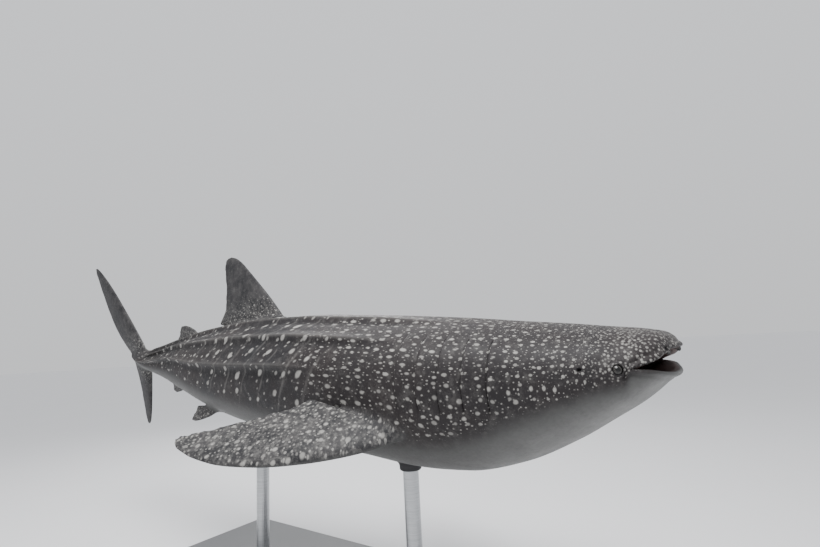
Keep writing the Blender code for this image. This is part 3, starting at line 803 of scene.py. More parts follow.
@dataclass(frozen=True)
class PectoralFin(Fin):
    """A broad swept fin on a plane that rises tailward and droops outward."""

    side: Side = Side.RIGHT
    root: Row = (0.185, 0.073, -0.0475)
    rise: float = 0.359
    droop: float = 0.75

    def to_body(self, flat: Array, offset: Array) -> Array:
        """The plane u = root + rise (s - root) - droop (r - root), thickened along its normal.

        Args:
            flat: Outline points, as s and the distance out.
            offset: How far each lies off the plane.

        Returns:
            Body coordinates.
        """
        ahead, inner, level = self.root
        s, r = flat[..., 0], flat[..., 1]
        u = level + self.rise * (s - ahead) - self.droop * (r - inner)
        points = np.stack([s, r, u], -1) + offset[..., None] * unit(np.array([-self.rise, self.droop, 1.0]))
        return points * [1, self.side.value, 1]


@dataclass(frozen=True)
class PelvicFin(Fin):
    """A small fin that splays out and down from its hinge."""

    side: Side = Side.RIGHT
    hinge: Row = (0.017, -0.033)
    splay: float = math.radians(36.0)

    def to_body(self, flat: Array, offset: Array) -> Array:
        """The hinge point plus the distance out along the splayed line, thickened square to it.

        Args:
            flat: Outline points, as s and the distance out.
            offset: How far each lies off the splayed line.

        Returns:
            Body coordinates.
        """
        out = np.array([0.0, math.sin(self.splay), -math.cos(self.splay)])
        normal = np.array([0.0, math.cos(self.splay), math.sin(self.splay)])
        points = flat[..., :1] * [1.0, 0.0, 0.0] + flat[..., 1:] * out + offset[..., None] * normal
        return (points + [0.0, *self.hinge]) * [1, self.side.value, 1]


@dataclass(frozen=True)
class TailFin(Fin):
    """The crescent of the tail, from the tip of its lower lobe to the tip of its upper one."""

    middle: int = 7
    full_chord: float = 0.06
    seed: float = 1.0
    waves: Rows = ((4.7, 1.0, 1.0), (9.1, 0.6, 0.0), (19.0, 0.5, 0.4))

    def far(self, q: Array) -> Array:
        """How far each row lies from the middle one, as a share of the way to either tip."""
        return np.where(q < self.middle, (self.middle - q) / self.middle,
                        (q - self.middle) / (q[-1] - self.middle))

    def wavering(self, q: Array) -> Array:
        """How strongly the rear edge wavers at each row: more towards the tips."""
        return ease(2 * self.far(q) - 0.3)

    def girth(self, q: Array, chord: Array) -> Array:
        """Thickness of each row before the tips' taper: less where the chord is short."""
        return np.clip(chord / self.full_chord, 0, 1)


PECTORAL_ROWS: Rows = (
    (0.172, 0.055, 0.238, 0.058), (0.185, 0.073, 0.243, 0.075), (0.194, 0.082, 0.28, 0.082),
    (0.213, 0.098, 0.2865, 0.0915), (0.243, 0.1187, 0.299, 0.1025), (0.28, 0.1392, 0.318, 0.1185),
    (0.317, 0.1536, 0.34, 0.136), (0.3415, 0.1584, 0.3555, 0.1478), (0.355, 0.1592, 0.3622, 0.153),
    (0.3612, 0.1577, 0.3634, 0.1558))
DORSAL_ROWS: Rows = (
    (0.4, 0.04, 0.52, 0.04), (0.412, 0.064, 0.532, 0.059), (0.424, 0.0755, 0.552, 0.064),
    (0.441, 0.0925, 0.5395, 0.083), (0.464, 0.113, 0.5385, 0.105), (0.486, 0.1315, 0.5412, 0.126),
    (0.504, 0.1452, 0.5438, 0.1405), (0.517, 0.1518, 0.5425, 0.149), (0.528, 0.1545, 0.5375, 0.1535))
SECOND_DORSAL_ROWS: Rows = (
    (0.596, 0.036, 0.65, 0.028), (0.603, 0.048, 0.656, 0.0385), (0.612, 0.0522, 0.673, 0.038),
    (0.626, 0.0572, 0.6655, 0.0475), (0.64, 0.0608, 0.664, 0.056), (0.65, 0.062, 0.661, 0.0605))
ANAL_ROWS: Rows = (
    (0.628, -0.02, 0.666, -0.014), (0.634, -0.029, 0.672, -0.0232), (0.644, -0.0325, 0.688, -0.024),
    (0.658, -0.0362, 0.681, -0.031), (0.669, -0.0385, 0.68, -0.0368))
PELVIC_ROWS: Rows = (
    (0.49, 0.0, 0.53, 0.0), (0.496, 0.01, 0.536, 0.01), (0.505, 0.017, 0.557, 0.013),
    (0.52, 0.025, 0.5535, 0.0205), (0.534, 0.0305, 0.5525, 0.0275), (0.542, 0.0325, 0.55, 0.0317))
LOWER_LOBE_ROWS: Rows = (
    (0.775, -0.012, 0.842, -0.014), (0.777, -0.025, 0.836, -0.027), (0.783, -0.048, 0.83, -0.047),
    (0.791, -0.074, 0.827, -0.07), (0.8, -0.098, 0.8255, -0.093), (0.808, -0.113, 0.8235, -0.11),
    (0.814, -0.118, 0.8205, -0.117))
UPPER_LOBE_ROWS: Rows = (
    (0.776, 0.0, 0.848, -0.0035), (0.78, 0.01, 0.858, 0.005), (0.789, 0.019, 0.8765, 0.0165),
    (0.806, 0.035, 0.9, 0.0325), (0.831, 0.0575, 0.923, 0.0545), (0.862, 0.0835, 0.941, 0.079),
    (0.896, 0.1105, 0.957, 0.105), (0.93, 0.135, 0.971, 0.1305), (0.958, 0.151, 0.98, 0.149),
    (0.971, 0.1565, 0.98, 0.156))


def all_fins() -> list[Fin]:
    """Every fin of the animal, in the order in which they are joined to it.

    Returns:
        The four upright fins, then a pectoral and a pelvic fin for each side.
    """
    fins: list[Fin] = [
        Fin("first_dorsal", DORSAL_ROWS, 0.013, steps=6, chord_steps=26, seed=0.4),
        Fin("second_dorsal", SECOND_DORSAL_ROWS, 0.007, chord_steps=16, seed=1.9),
        Fin("anal", ANAL_ROWS, 0.006, chord_steps=14, seed=2.7),
        TailFin("tail", LOWER_LOBE_ROWS[::-1] + UPPER_LOBE_ROWS, 0.0125, steps=6, chord_steps=18)]
    for side in Side:
        fins.append(PectoralFin("pectoral_" + side.word, PECTORAL_ROWS, 0.0125, steps=9, chord_steps=24,
                                side=side, seed=3.1 + side.value))
        fins.append(PelvicFin("pelvic_" + side.word, PELVIC_ROWS, 0.0065, chord_steps=14, side=side,
                              seed=0.8 + side.value))
    return fins


@dataclass(frozen=True)
class Pit:
    """A round opening in the skin: a socket, a nostril or a spiracle.

    Profile rows hold a distance from the axis, how far the skin there moves outwards, and the
    distance from the axis that it moves to, all in metres.
    """

    centre: Array
    out: Array
    profile: Rows
    stretch: float = 1.0

    @property
    def reach(self) -> float:
        """How far from its axis the opening shapes the skin."""
        return self.profile[-1][0]

    def local(self, points: Array) -> tuple[Array, Array, Array]:
        """Places of some points as the opening sees them.

        Args:
            points: World positions.

        Returns:
            The height over the opening, the direction from its axis, and the distance from it,
            measured in an ellipse that is stretch times as long as it is high.
        """
        gap = points - self.centre
        height = gap @ self.out
        flat = gap - height[:, None] * self.out
        level = unit(np.cross(self.out, [0.0, 0.0, 1.0]))
        squeeze = 1.0 / self.stretch - 1.0
        distance = np.linalg.norm(flat + (flat @ level)[:, None] * squeeze * level, axis=1)
        return height, flat, distance

    def press(self, points: Array) -> Array:
        """Moves points along the axis, and towards or away from it, by the profile's curves.

        Args:
            points: World positions of the skin.

        Returns:
            The moved positions.
        """
        height, flat, distance = self.local(points)
        near = (distance < self.reach) & (np.abs(height) < self.reach)
        rise = hermite(distance, self.profile, 1) * bell(height / (2.0 * self.reach))
        scale = hermite(distance, self.profile, 2) / np.maximum(distance, 1e-6)
        moved = points + rise[:, None] * self.out + flat * (scale - 1)[:, None]
        return np.where(near[:, None], moved, points)

    def hollow(self, points: Array) -> Array:
        """How far points lie inside the opening, as a mask of painted shade: 1 within its throat, easing to 0
        at its rim.

        Args:
            points: World positions of the skin.

        Returns:
            Numbers from 0 to 1.
        """
        height, _, distance = self.local(points)
        radius = 0.3 * self.reach
        inside = 1 - ease((distance - 0.6 * radius) / (0.7 * radius))
        return inside * (np.abs(height) < self.reach)


@dataclass
class Head:
    """Where the eyes, nostrils, barbels and spiracles sit on the head."""

    form: Form
    eye_share: float = 0.03
    eye_height: float = 0.0002
    eye_radius: float = 0.026
    nostril_width: float = 0.036
    nostril_rise: float = 0.0042
    nostril_back: float = 0.0004
    nostril_aim: Row = (0.93, -0.33, 0.18)
    barbel_size: Row = (0.015, 0.0095, 0.019)
    barbel_gap: Row = (0.004, 0.036, 0.013)
    spiracle_share: float = 0.051
    spiracle_height: float = 0.001
    eye_profile: Rows = (
        (0.0, -0.036, 0.0), (0.01, -0.036, 0.014), (0.017, -0.028, 0.0258), (0.021, -0.01, 0.0274),
        (0.0238, 0.004, 0.025), (0.0255, 0.0098, 0.0222), (0.0275, 0.0126, 0.0234),
        (0.031, 0.0124, 0.0285), (0.036, 0.008, 0.035), (0.041, 0.0038, 0.0408), (0.048, 0.0047, 0.048),
        (0.058, 0.0022, 0.058), (0.075, 0.0006, 0.075), (0.095, 0.0, 0.095))
    nostril_profile: Rows = (
        (0.0, -0.02, 0.0), (0.007, -0.017, 0.008), (0.011, -0.006, 0.0125), (0.0145, 0.002, 0.014),
        (0.02, 0.003, 0.02), (0.027, 0.0012, 0.027), (0.036, 0.0, 0.036))
    spiracle_profile: Rows = (
        (0.0, -0.012, 0.0), (0.004, -0.011, 0.0045), (0.0065, -0.005, 0.0068), (0.009, 0.0012, 0.0085),
        (0.013, 0.0022, 0.0127), (0.02, 0.001, 0.02), (0.032, 0.0, 0.032))

    def spot(self, share: float, height: float, side: Side) -> tuple[Array, Array]:
        """A world point on the head's side, found by reading the section's angle at its height.

        Args:
            share: Distance back.
            height: Height in body coordinates.
            side: The side of the head.

        Returns:
            The point, and the outward direction there: the cross product of small steps.
        """
        angle = np.linspace(0.0, 180.0, 361)
        ring = self.form.contour(np.full(361, share), angle, angle <= 90)
        found = float(np.interp(-height, -ring[:, 2], angle))
        angles = np.array([found - 4.0, found, found + 4.0, found])
        shares = np.array([share, share, share, share + 0.004])
        points = SPINE.place(self.form.contour(shares, angles, angles <= 90) * [1, side.value, 1])
        out = unit(np.cross(points[2] - points[0], points[3] - points[1]))
        centre = SPINE.place(np.array([share, 0.0, float(self.form.level(np.array(share)))]))
        return points[1], out if out @ (points[1] - centre) > 0 else -out

    def nostril(self, side: Side) -> tuple[Array, Array]:
        """Where a nostril opens on the upper lip's front.

        Args:
            side: The side of the head.

        Returns:
            A world point just over the lip, and the direction in which the nostril faces.
        """
        share = np.linspace(0.0, self.form.corner, 2000)
        front = float(np.interp(self.nostril_width, self.form.widest(share), share))
        edge = float(self.form.lip_line(np.array(self.nostril_width), np.array(front), np.array(True)))
        place = [front + self.nostril_back, side.value * self.nostril_width, edge + self.nostril_rise]
        return SPINE.place(np.array(place)), unit(np.array(self.nostril_aim) * [1, side.value, 1])

    def pits(self) -> list[Pit]:
        """Every opening that is pressed into the skin.

        Returns:
            An eye socket, a nostril and a spiracle for each side.
        """
        found = []
        for side in Side:
            found.append(Pit(*self.spot(self.eye_share, self.eye_height, side), self.eye_profile))
            found.append(Pit(*self.nostril(side), self.nostril_profile, stretch=1.7))
            found.append(Pit(*self.spot(self.spiracle_share, self.spiracle_height, side),
                             self.spiracle_profile, stretch=1.3))
        return found

    def barbels(self) -> list[Piece]:
        """The small flap beside each nostril: a drop whose girth is sin(a) (1 - 0.3 cos(a)).

        Returns:
            The right and the left flap.
        """
        made = []
        deep, wide, tall = self.barbel_size
        back, aside, below = self.barbel_gap
        a, b = np.meshgrid(np.linspace(0, np.pi, 17)[1:-1], turns(20), indexing="ij")
        girth = np.sin(a) * (1 - 0.3 * np.cos(a))
        shape = np.stack([deep * girth * np.cos(b), wide * girth * np.sin(b), tall * np.cos(a)], -1)
        for side in Side:
            spot, out = self.nostril(side)
            centre = spot + aside * side.value * np.array([0.0, 1.0, 0.0]) - back * out - [0.0, 0.0, below]
            made.append(capped("barbel_" + side.word, shape + centre, centre + [0, 0, tall],
                               centre - [0, 0, tall]))
        return made


def refine(obj: Piece, centre: Array, radius: float) -> None:
    """Splits every edge within a radius of a point in two, with the faces between filled in.

    Args:
        obj: The object that is changed.
        centre: The point.
        radius: The radius in metres.
    """
    near = np.linalg.norm(coordinates(obj.data) - centre, axis=1) < radius
    shape = bmesh.new()
    shape.from_mesh(obj.data)
    shape.edges.ensure_lookup_table()
    ends = gather(obj.data.edges, "vertices", 2, np.int32)
    chosen = np.flatnonzero(near[ends.reshape(-1, 2)].all(axis=1))
    edges = [shape.edges[i] for i in chosen]
    bmesh.ops.subdivide_edges(shape, edges=edges, cuts=1, use_grid_fill=True)
    shape.to_mesh(obj.data)
    shape.free()


def relax(mesh: Mesh, values: Array, weight: Array, rounds: int) -> Array:
    """Moves each vertex's values towards the mean of its neighbours'.

    Args:
        mesh: The mesh whose edges say what neighbours what.
        values: One row for each vertex.
        weight: How far each vertex moves in a round, 0 to 1.
        rounds: How many rounds.

    Returns:
        The changed values.
    """
    ends = gather(mesh.edges, "vertices", 2, np.int32)
    a, b = ends.reshape(-1, 2).T
    count = len(mesh.vertices)
    degree = np.maximum(np.bincount(ends, minlength=count), 1)[:, None]
    values = values.copy()
    for _ in range(rounds):
        total = np.stack([np.bincount(a, column[b], count) + np.bincount(b, column[a], count)
                          for column in values.T], 1)
        values += weight[:, None] * (total / degree - values)
    return values


def nearest(points: Array, marks: Array, most: int = 4000000) -> Array:
    """Distance from each point to the nearest mark, worked out in slices of the array.

    Args:
        points: The points.
        marks: The marks.
        most: How many distances a slice may hold.

    Returns:
        One distance for each point.
    """
    parts = np.array_split(points.astype(np.float32), max(1, len(points) * len(marks) // most))
    return np.concatenate([np.linalg.norm(part[:, None] - marks[None], axis=2).min(axis=1) for part in parts])


def grown_from(mesh: Mesh, kind: Origin) -> Array:
    """The share of the faces round each vertex that grew from one kind of piece.

    Args:
        mesh: A mesh whose faces carry their origin.
        kind: The kind that is counted.

    Returns:
        A number from 0 to 1 for each vertex.
    """
    origin = gather(mesh.attributes["origin"].data, "value", 1, np.int32)
    sizes = gather(mesh.polygons, "loop_total", 1, np.int32)
    corners = gather(mesh.loops, "vertex_index", 1, np.int32)
    count = len(mesh.vertices)
    matching = np.bincount(corners, np.repeat(origin == kind.value, sizes), count)
    return matching / np.maximum(np.bincount(corners, minlength=count), 1)


def unite(body: Piece, pieces: list[Piece]) -> None:
    """Joins closed pieces to a body in one Boolean union, and removes them.

    Args:
        body: The object that grows.
        pieces: The objects that are joined to it.
    """
    group = bpy.data.collections.new("joined")
    bpy.context.scene.collection.children.link(group)
    for piece in pieces:
        bpy.context.scene.collection.objects.unlink(piece)
        group.objects.link(piece)
    modifier = body.modifiers.new("join", "BOOLEAN")
    modifier.operation = "UNION"
    modifier.operand_type = "COLLECTION"
    modifier.collection = group
    modifier.solver = "MANIFOLD"
    bpy.context.view_layer.update()
    evaluated = body.evaluated_get(bpy.context.evaluated_depsgraph_get())
    mesh = bpy.data.meshes.new_from_object(evaluated)
    body.modifiers.clear()
    body.data = mesh
    for piece in pieces:
        bpy.data.objects.remove(piece)
    bpy.data.collections.remove(group)


# The vectors that the skin carries for its finish, with the word for each of their three numbers. The shade
# vector's last two words hold painted shade in the hollows, and painted highlight and shadow at the ridges.
SKIN_VECTORS = {
    "flank": ("leant", "angle", "columns"),
    "fin_place": ("fin_out", "fin_over", "spotted"),
    "marks": ("on_flank", "on_head", "on_snout"),
    "shade": ("belly", "hollow", "ridged"),
    "parts": ("on_fin", "mouth", "under")}


@dataclass
class Skin:
    """The one skin that stands for every node of flesh.

    Belly_line gives the angle at which the belly starts, and head_spacing the distance between
    columns of spots on the head, both by the share. Lean is how far columns slide back per radian.
    """

    form: Form
    head: Head
    name: str = "whale_shark_skin"
    fillet: float = 0.05
    fillet_rounds: int = 24
    weld: float = 0.002
    lean: float = 0.045
    belly_fade: float = 60.0
    belly_line: Rows = (
        (0.0, 84.0), (0.03, 86.0), (0.055, 90.0), (0.075, 94.0), (0.1, 99.0), (0.132, 108.0), (0.2, 115.0),
        (0.3, 114.0), (0.45, 110.0), (0.6, 105.0), (0.75, 100.0), (0.86, 100.0))
    head_spacing: Rows = (
        (0.0, 0.0045), (0.05, 0.0062), (0.08, 0.0088), (0.12, 0.0118), (0.17, 0.0145), (0.24, 0.02),
        (0.4, 0.03))
    pectoral_end: float = 0.385
    pelvic_span: Row = (0.47, 0.575)
    pectoral_root: Row = (0.2, 0.07)
    pectoral_aim: Row = (0.876, 0.482)
    side_gap: float = 3.0

    def build(self) -> Piece:
        """The body with its openings pressed in and its fins joined on.

        Returns:
            The skin's object.
        """
        body = BodyGrid(self.form).mesh(self.name)
        pits = self.head.pits()
        for share_of_reach in (1.0, 0.62):
            for pit in pits:
                refine(body, pit.centre, share_of_reach * pit.reach)
        points = coordinates(body.data)
        for pit in pits:
            points = pit.press(points)
        set_coordinates(body.data, points)
        fins = [fin.mesh() for fin in all_fins()] + self.head.barbels()
        for fin in fins:
            write(fin.data, "origin", np.full(len(fin.data.polygons), Origin.FIN.value), "FACE")
        unite(body, fins)
        self.close_seams(body.data)
        self.soften_roots(body.data)
        return body

    def close_seams(self, mesh: Mesh) -> None:
        """Merges the short edges that a union leaves along its seams, and fills any gap.

        Args:
            mesh: The joined skin.
        """
        share = grown_from(mesh, Origin.FIN)
        shape = bmesh.new()
        shape.from_mesh(mesh)
        shape.verts.ensure_lookup_table()
        seam = [shape.verts[i] for i in np.flatnonzero((share > 0) & (share < 1))]
        near = {v.index for s in seam for f in s.link_faces for v in f.verts}
        bmesh.ops.remove_doubles(shape, verts=[shape.verts[i] for i in sorted(near)], dist=self.weld)
        gaps = [edge for edge in shape.edges if edge.is_boundary]
        bmesh.ops.holes_fill(shape, edges=gaps, sides=4)
        bmesh.ops.recalc_face_normals(shape, faces=shape.faces)
        shape.to_mesh(mesh)
        shape.free()

    def soften_roots(self, mesh: Mesh) -> None:
        """Rounds the corner where each fin meets the body, and keeps each vertex's share of fin.

        Vertices near the seam move towards the mean of their neighbours, with a weight that falls
        off as a bell with the distance from the seam.

        Args:
            mesh: The joined skin.
        """
        share = grown_from(mesh, Origin.FIN)
        points = coordinates(mesh)
        gap = nearest(points, points[(share > 0) & (share < 1)])
        weight = 0.6 * bell(gap / self.fillet) * (gap < 3 * self.fillet)
        set_coordinates(mesh, relax(mesh, points, weight, self.fillet_rounds))
        write(mesh, "fin_share", relax(mesh, share[:, None], bell(gap / 0.12), 10)[:, 0])
        lining = grown_from(mesh, Origin.LINING)[:, None]
        write(mesh, "lining", relax(mesh, lining, np.full(len(points), 0.5), 3)[:, 0])
        mesh.attributes.remove(mesh.attributes["origin"])
        mesh.shade_smooth()

    def section_place(self, body: Array) -> tuple[Array, Array]:
        """Where body coordinates lie on their plain section.

        The section is a superellipse, so each coordinate over its half axis, to the power 1 / p,
        gives the sine and cosine of the angle; their length to the power p is the point's scale.

        Args:
            body: Rows of s, r and u.

        Returns:
            The angle down from the top of the back, and the height over the section.
        """
        s, r, u = body.T
        s = np.clip(s, 0.0005, 0.855)
        upper = u > self.form.level(s)
        wide, power = self.form.widest(s), self.form.square(s)
        edge = self.form.lip_line(np.minimum(wide, self.form.mouth_half), s, upper)
        across = (np.abs(r) / wide) ** (1 / power)
        along = (u - edge) / (self.form.end(s, upper) - edge)
        along = np.sign(along) * np.abs(along) ** (1 / power) * np.where(upper, 1, -1)
        scale = np.hypot(across, along) ** power
        stand = np.hypot(r, u - edge) * (1 - 1 / np.maximum(scale, 1e-3))
        return np.degrees(np.arctan2(across, along)), stand

    def columns(self, share: Array) -> Array:
        """How many columns of head spots lie ahead: the running sum of 1 over their spacing.

        Args:
            share: Distance back of each point.

        Returns:
            The count, with its fraction.
        """
        fine = np.linspace(0, 0.9, 1801)
        count = np.cumsum(1 / hermite(fine, self.head_spacing, 1)) * (fine[1] - fine[0])
        return np.interp(share, fine, count)

    def fin_lengths(self, place: Array, paired: Array) -> tuple[Array, Array]:
        """Two lengths in metres that measure places on a fin, kept apart on the two sides.

        On a pectoral fin they run along and across its sweep; on the others they are s, and u or
        the distance from the spine.

        Args:
            place: Rows of s, r and u.
            paired: Whether a point is in the reach of a paired fin.

        Returns:
            The lengths along and across the fin.
        """
        s, r, u = place.T
        root, inner = self.pectoral_root
        aft, aside = self.pectoral_aim
        out = (s - root) * aft + (np.abs(r) - inner) * aside
        over = -(s - root) * aside + (np.abs(r) - inner) * aft
        pectoral = s < self.pectoral_end
        shift = self.side_gap * np.sign(r)
        rise = np.where(pectoral, over, np.where(paired, np.hypot(r, u), u))
        return np.where(pectoral, out, s) * LENGTH + shift, rise * LENGTH + shift

    def painted_ridge_light(self, share: Array, side: Array) -> Array:
        """Painted light at the ridges: bells of 1 along each ridge for painted highlight, less bells of 0.8
        in the groove below it for painted shadow.

        Args:
            share: Distance back of each point.
            side: Angle down from the top of the back.

        Returns:
            Numbers from -1 to 1.
        """
        ridged = np.zeros(len(share))
        for angle, start in self.form.ridges:
            grown = between(share, start, self.form.ridge_rise, 0.76, 0.04)
            ridged += grown * bell((side - angle) / 2.6) - 0.8 * grown * bell((side - angle - 7.0) / 5.0)
        return np.clip(ridged, -1, 1)

    def mark(self, body: Piece) -> None:
        """Writes the vectors that the skin's finish reads at each vertex, as SKIN_VECTORS names them.

        Leant is s less a share of the angle, so that columns of spots lean back as they run down.
        Spotted is how fully a fin carries its spots. The shade vector's last two words are masks of painted
        shade inside the gill slits and pits, and of painted highlight and shadow at the ridges; the others
        are what their names say.

        Args:
            body: The skin's object.
        """
        mesh = body.data
        points = coordinates(mesh)
        place = SPINE.unplace(points)
        s, r, u = place.T
        side, stand = self.section_place(place)
        fin, mouth = (gather(mesh.attributes[name].data, "value", 1, np.float32)
                      for name in ("fin_share", "lining"))
        down = -gather(mesh.vertex_normals, "vector", 3, np.float32)[2::3]
        pectoral = s < self.pectoral_end
        start, end = self.pelvic_span
        paired = pectoral | ((u < 0) & (s > start) & (s < end))
        # How deep a point lies in a gill slit, for the painted shade there.
        in_slit = ease((-stand - 0.001) / 0.0022) * (s >= 0.095) * (s < 0.19)
        shaded_hollows = [in_slit * self.form.gills.window(side)] + [pit.hollow(points) for pit in self.head.pits()]
        above, below = u - self.form.end(s, np.array(True)), self.form.end(s, np.array(False)) - u
        fading = ease((np.maximum(above, below) - 0.002) / 0.04)
        out, over = self.fin_lengths(place, paired)
        values = {
            "leant": s - self.lean * np.radians(side), "angle": np.radians(side) * np.sign(r),
            "columns": self.columns(s), "fin_out": out, "fin_over": over,
            "spotted": np.where(pectoral, 1.0, 0.95 - 0.85 * fading),
            "on_flank": between(s, 0.235, 0.08, 0.79, 0.04), "on_head": between(s, 0.034, 0.018, 0.255, 0.08),
            "on_snout": 1 - ease((s - 0.036) / 0.022),
            "belly": np.clip((side - hermite(s, self.belly_line, 1)) / self.belly_fade, 0, 1) * (1 - fin),
            "hollow": np.max(shaded_hollows, axis=0), "ridged": self.painted_ridge_light(s, side),
            "on_fin": fin, "mouth": mouth, "under": fin * np.where(paired, ease(down / 0.5), 0.0)}
        for name, words in SKIN_VECTORS.items():
            write(mesh, name, np.stack([values[word] for word in words], 1))


@dataclass
class Graph:
    """A new material and its node tree, with short ways to add and join its nodes."""

    name: str

    def __post_init__(self) -> None:
        """Starts the tree with a shader and an output."""
        self.material = bpy.data.materials.new(self.name)
        self.material.use_nodes = True
        self.tree = self.material.node_tree
        self.tree.nodes.clear()
        self.shader = self.tree.nodes.new("ShaderNodeBsdfPrincipled")
        output = self.tree.nodes.new("ShaderNodeOutputMaterial")
        self.tree.links.new(self.shader.outputs["BSDF"], output.inputs["Surface"])

    @cached_property
    def place(self) -> Socket:
        """The surface's own position in metres."""
        return self.node("TexCoord").outputs["Object"]

    def feed(self, socket: Socket, value: object) -> None:
        """Links a socket to another, or sets its value.

        Args:
            socket: The input that is fed.
            value: What it takes.
        """
        if isinstance(value, Socket):
            self.tree.links.new(value, socket)
        else:
            socket.default_value = value

    def node(self, kind: str, settings: dict[str, object] | None = None, **values: object) -> bpy.types.Node:
        """Adds a node.

        Args:
            kind: The node's type, without its ShaderNode prefix.
            settings: The node's own properties.
            **values: Values or links for inputs, by name with underscores for spaces.

        Returns:
            The node.
        """
        made = self.tree.nodes.new("ShaderNode" + kind)
        for name, value in (settings or {}).items():
            setattr(made, name, value)
        for name, value in values.items():
            self.feed(made.inputs[name.replace("_", " ")], value)
        return made

    def math(self, operation: str, *values: object, kind: str = "Math") -> Socket:
        """The result of a sum.

        Args:
            operation: The name of the sum.
            *values: Up to three numbers, vectors or sockets.
            kind: The type of the node that works it out.

        Returns:
            The result.
        """
        made = self.node(kind, {"operation": operation})
        for socket, value in zip(made.inputs, values):
            self.feed(socket, value)
        return made.outputs[0]

    def times(self, first: object, second: object, more: object = 0.0) -> Socket:
        """The product of two numbers, plus more."""
        return self.math("MULTIPLY_ADD", first, second, more)

    def vector(self, operation: str, first: object, second: object) -> Socket:
        """The result of a sum of two vectors."""
        return self.math(operation, first, second, kind="VectorMath")

    def step(self, value: object, low: float, high: float) -> Socket:
        """Eases from 0 at low to 1 at high; low may be the larger one."""
        return self.node("MapRange", {"interpolation_type": "SMOOTHSTEP"}, Value=value, From_Min=low,
                         From_Max=high).outputs["Result"]

    def mix(self, amount: object, first: object, second: object) -> Socket:
        """Blends two colours.

        Args:
            amount: The share of the second colour, 0 to 1.
            first: A colour or a socket.
            second: The second one.

        Returns:
            The blend.
        """
        made = self.node("Mix", {"data_type": "RGBA"})
        self.feed(made.inputs["Factor"], amount)
        for socket, value in zip(made.inputs[6:8], (first, second)):
            self.feed(socket, value if isinstance(value, Socket) else (*value, 1.0))
        return made.outputs[2]

    def tint(self, tone: Socket, colour: object, mask: Socket, amount: object) -> Socket:
        """A tone with a colour laid over it: the blend by the mask times the amount."""
        return self.mix(self.times(mask, amount), tone, colour)

    def attribute(self, name: str) -> Socket:
        """A vector that the mesh carries."""
        return self.node("Attribute", {"attribute_name": name}).outputs["Vector"]

    def noise(self, place: Socket, scale: float, detail: float = 4.0, rough: float = 0.55) -> Socket:
        """Fractal noise from 0 to 1 at a place."""
        made = self.node("TexNoise", Vector=place, Scale=scale, Detail=detail, Roughness=rough)
        return made.outputs["Fac"]

    def bump(self, height: Socket, distance: float, strength: float, under: Socket | None = None) -> Socket:
        """A normal tilted by a height.

        Args:
            height: The height, 0 to 1.
            distance: What a height of 1 is worth in metres.
            strength: How strongly it tilts the normal.
            under: The normal that is tilted, or the surface's own.

        Returns:
            The normal.
        """
        made = self.node("Bump", Height=height, Distance=distance, Strength=strength)
        if under is not None:
            self.feed(made.inputs["Normal"], under)
        return made.outputs["Normal"]

    def surface(self, **values: object) -> Material:
        """Sets or links inputs of the shader.

        Args:
            **values: Values or links, by name with underscores for spaces.

        Returns:
            The finished material.
        """
        for name, value in values.items():
            self.feed(self.shader.inputs[name.replace("_", " ")], value)
        return self.material


def scaled(colour: Row, share: float) -> Row:
    """A colour made darker or brighter by a factor."""
    return tuple(share * part for part in colour)


@dataclass(frozen=True)
class SpotLayer:
    """One layer of pale spots: a lattice of cells with one spot in each.

    Cell and spot are sizes along and across, in the units of the place that the layer reads. A spot
    is where the offset from the cell's own point, over the spot's size, is shorter than a radius
    drawn for that cell. Each spot's paleness is drawn too, between 1 - vary and 1.
    """

    cell: Row
    spot: Row
    scatter: float
    least: float = 0.55
    spread: float = 0.7
    warp: float = 0.12
    soft: float = 0.28
    strength: float = 1.0
    vary: float = 0.3

    def mask(self, graph: Graph, place: Socket, weight: Socket, solid_cells: bool = False) -> Socket:
        """How much of a pale spot lies at a place.

        Args:
            graph: The material that is dressed.
            place: The place on the surface, in the layer's units.
            weight: Scales every spot, so that a layer ends by its spots dwindling away.
            solid_cells: Whether the lattice fills space and not a sheet.

        Returns:
            A socket from 0 to 1.
        """
        spot = graph.vector("DIVIDE", place, (*self.cell, 1.0)[:3])
        wobble = graph.node("TexNoise", Vector=spot, Scale=1.7, Detail=2.0).outputs["Color"]
        wobble = graph.vector("SUBTRACT", wobble, (0.5, 0.5, 0.5))
        wobble = graph.node("VectorMath", {"operation": "SCALE"}, Scale=self.warp, Vector=wobble).outputs[0]
        spot = graph.vector("ADD", spot, wobble)
        cells = graph.node("TexVoronoi", {"voronoi_dimensions": "3D" if solid_cells else "2D"},
                           Vector=spot, Scale=1.0, Randomness=self.scatter)
        gap = graph.vector("SUBTRACT", spot, cells.outputs["Position"])
        ratio = tuple(c / s for c, s in zip(self.cell, self.spot))
        gap = graph.vector("MULTIPLY", gap, (*ratio, 1.0 if solid_cells else 0.0)[:3])
        length = graph.node("VectorMath", {"operation": "LENGTH"}, Vector=gap).outputs["Value"]
        drawn = graph.node("SeparateColor", Color=cells.outputs["Color"]).outputs
        radius = graph.times(graph.times(drawn[0], self.spread, self.least), weight)
        inside = graph.step(graph.math("SUBTRACT", radius, length), -self.soft, self.soft)
        present = graph.times(graph.step(weight, 0.0, 0.3), self.strength)
        paleness = graph.times(drawn[1], self.vary, 1 - self.vary)
        return graph.times(inside, graph.times(present, paleness))


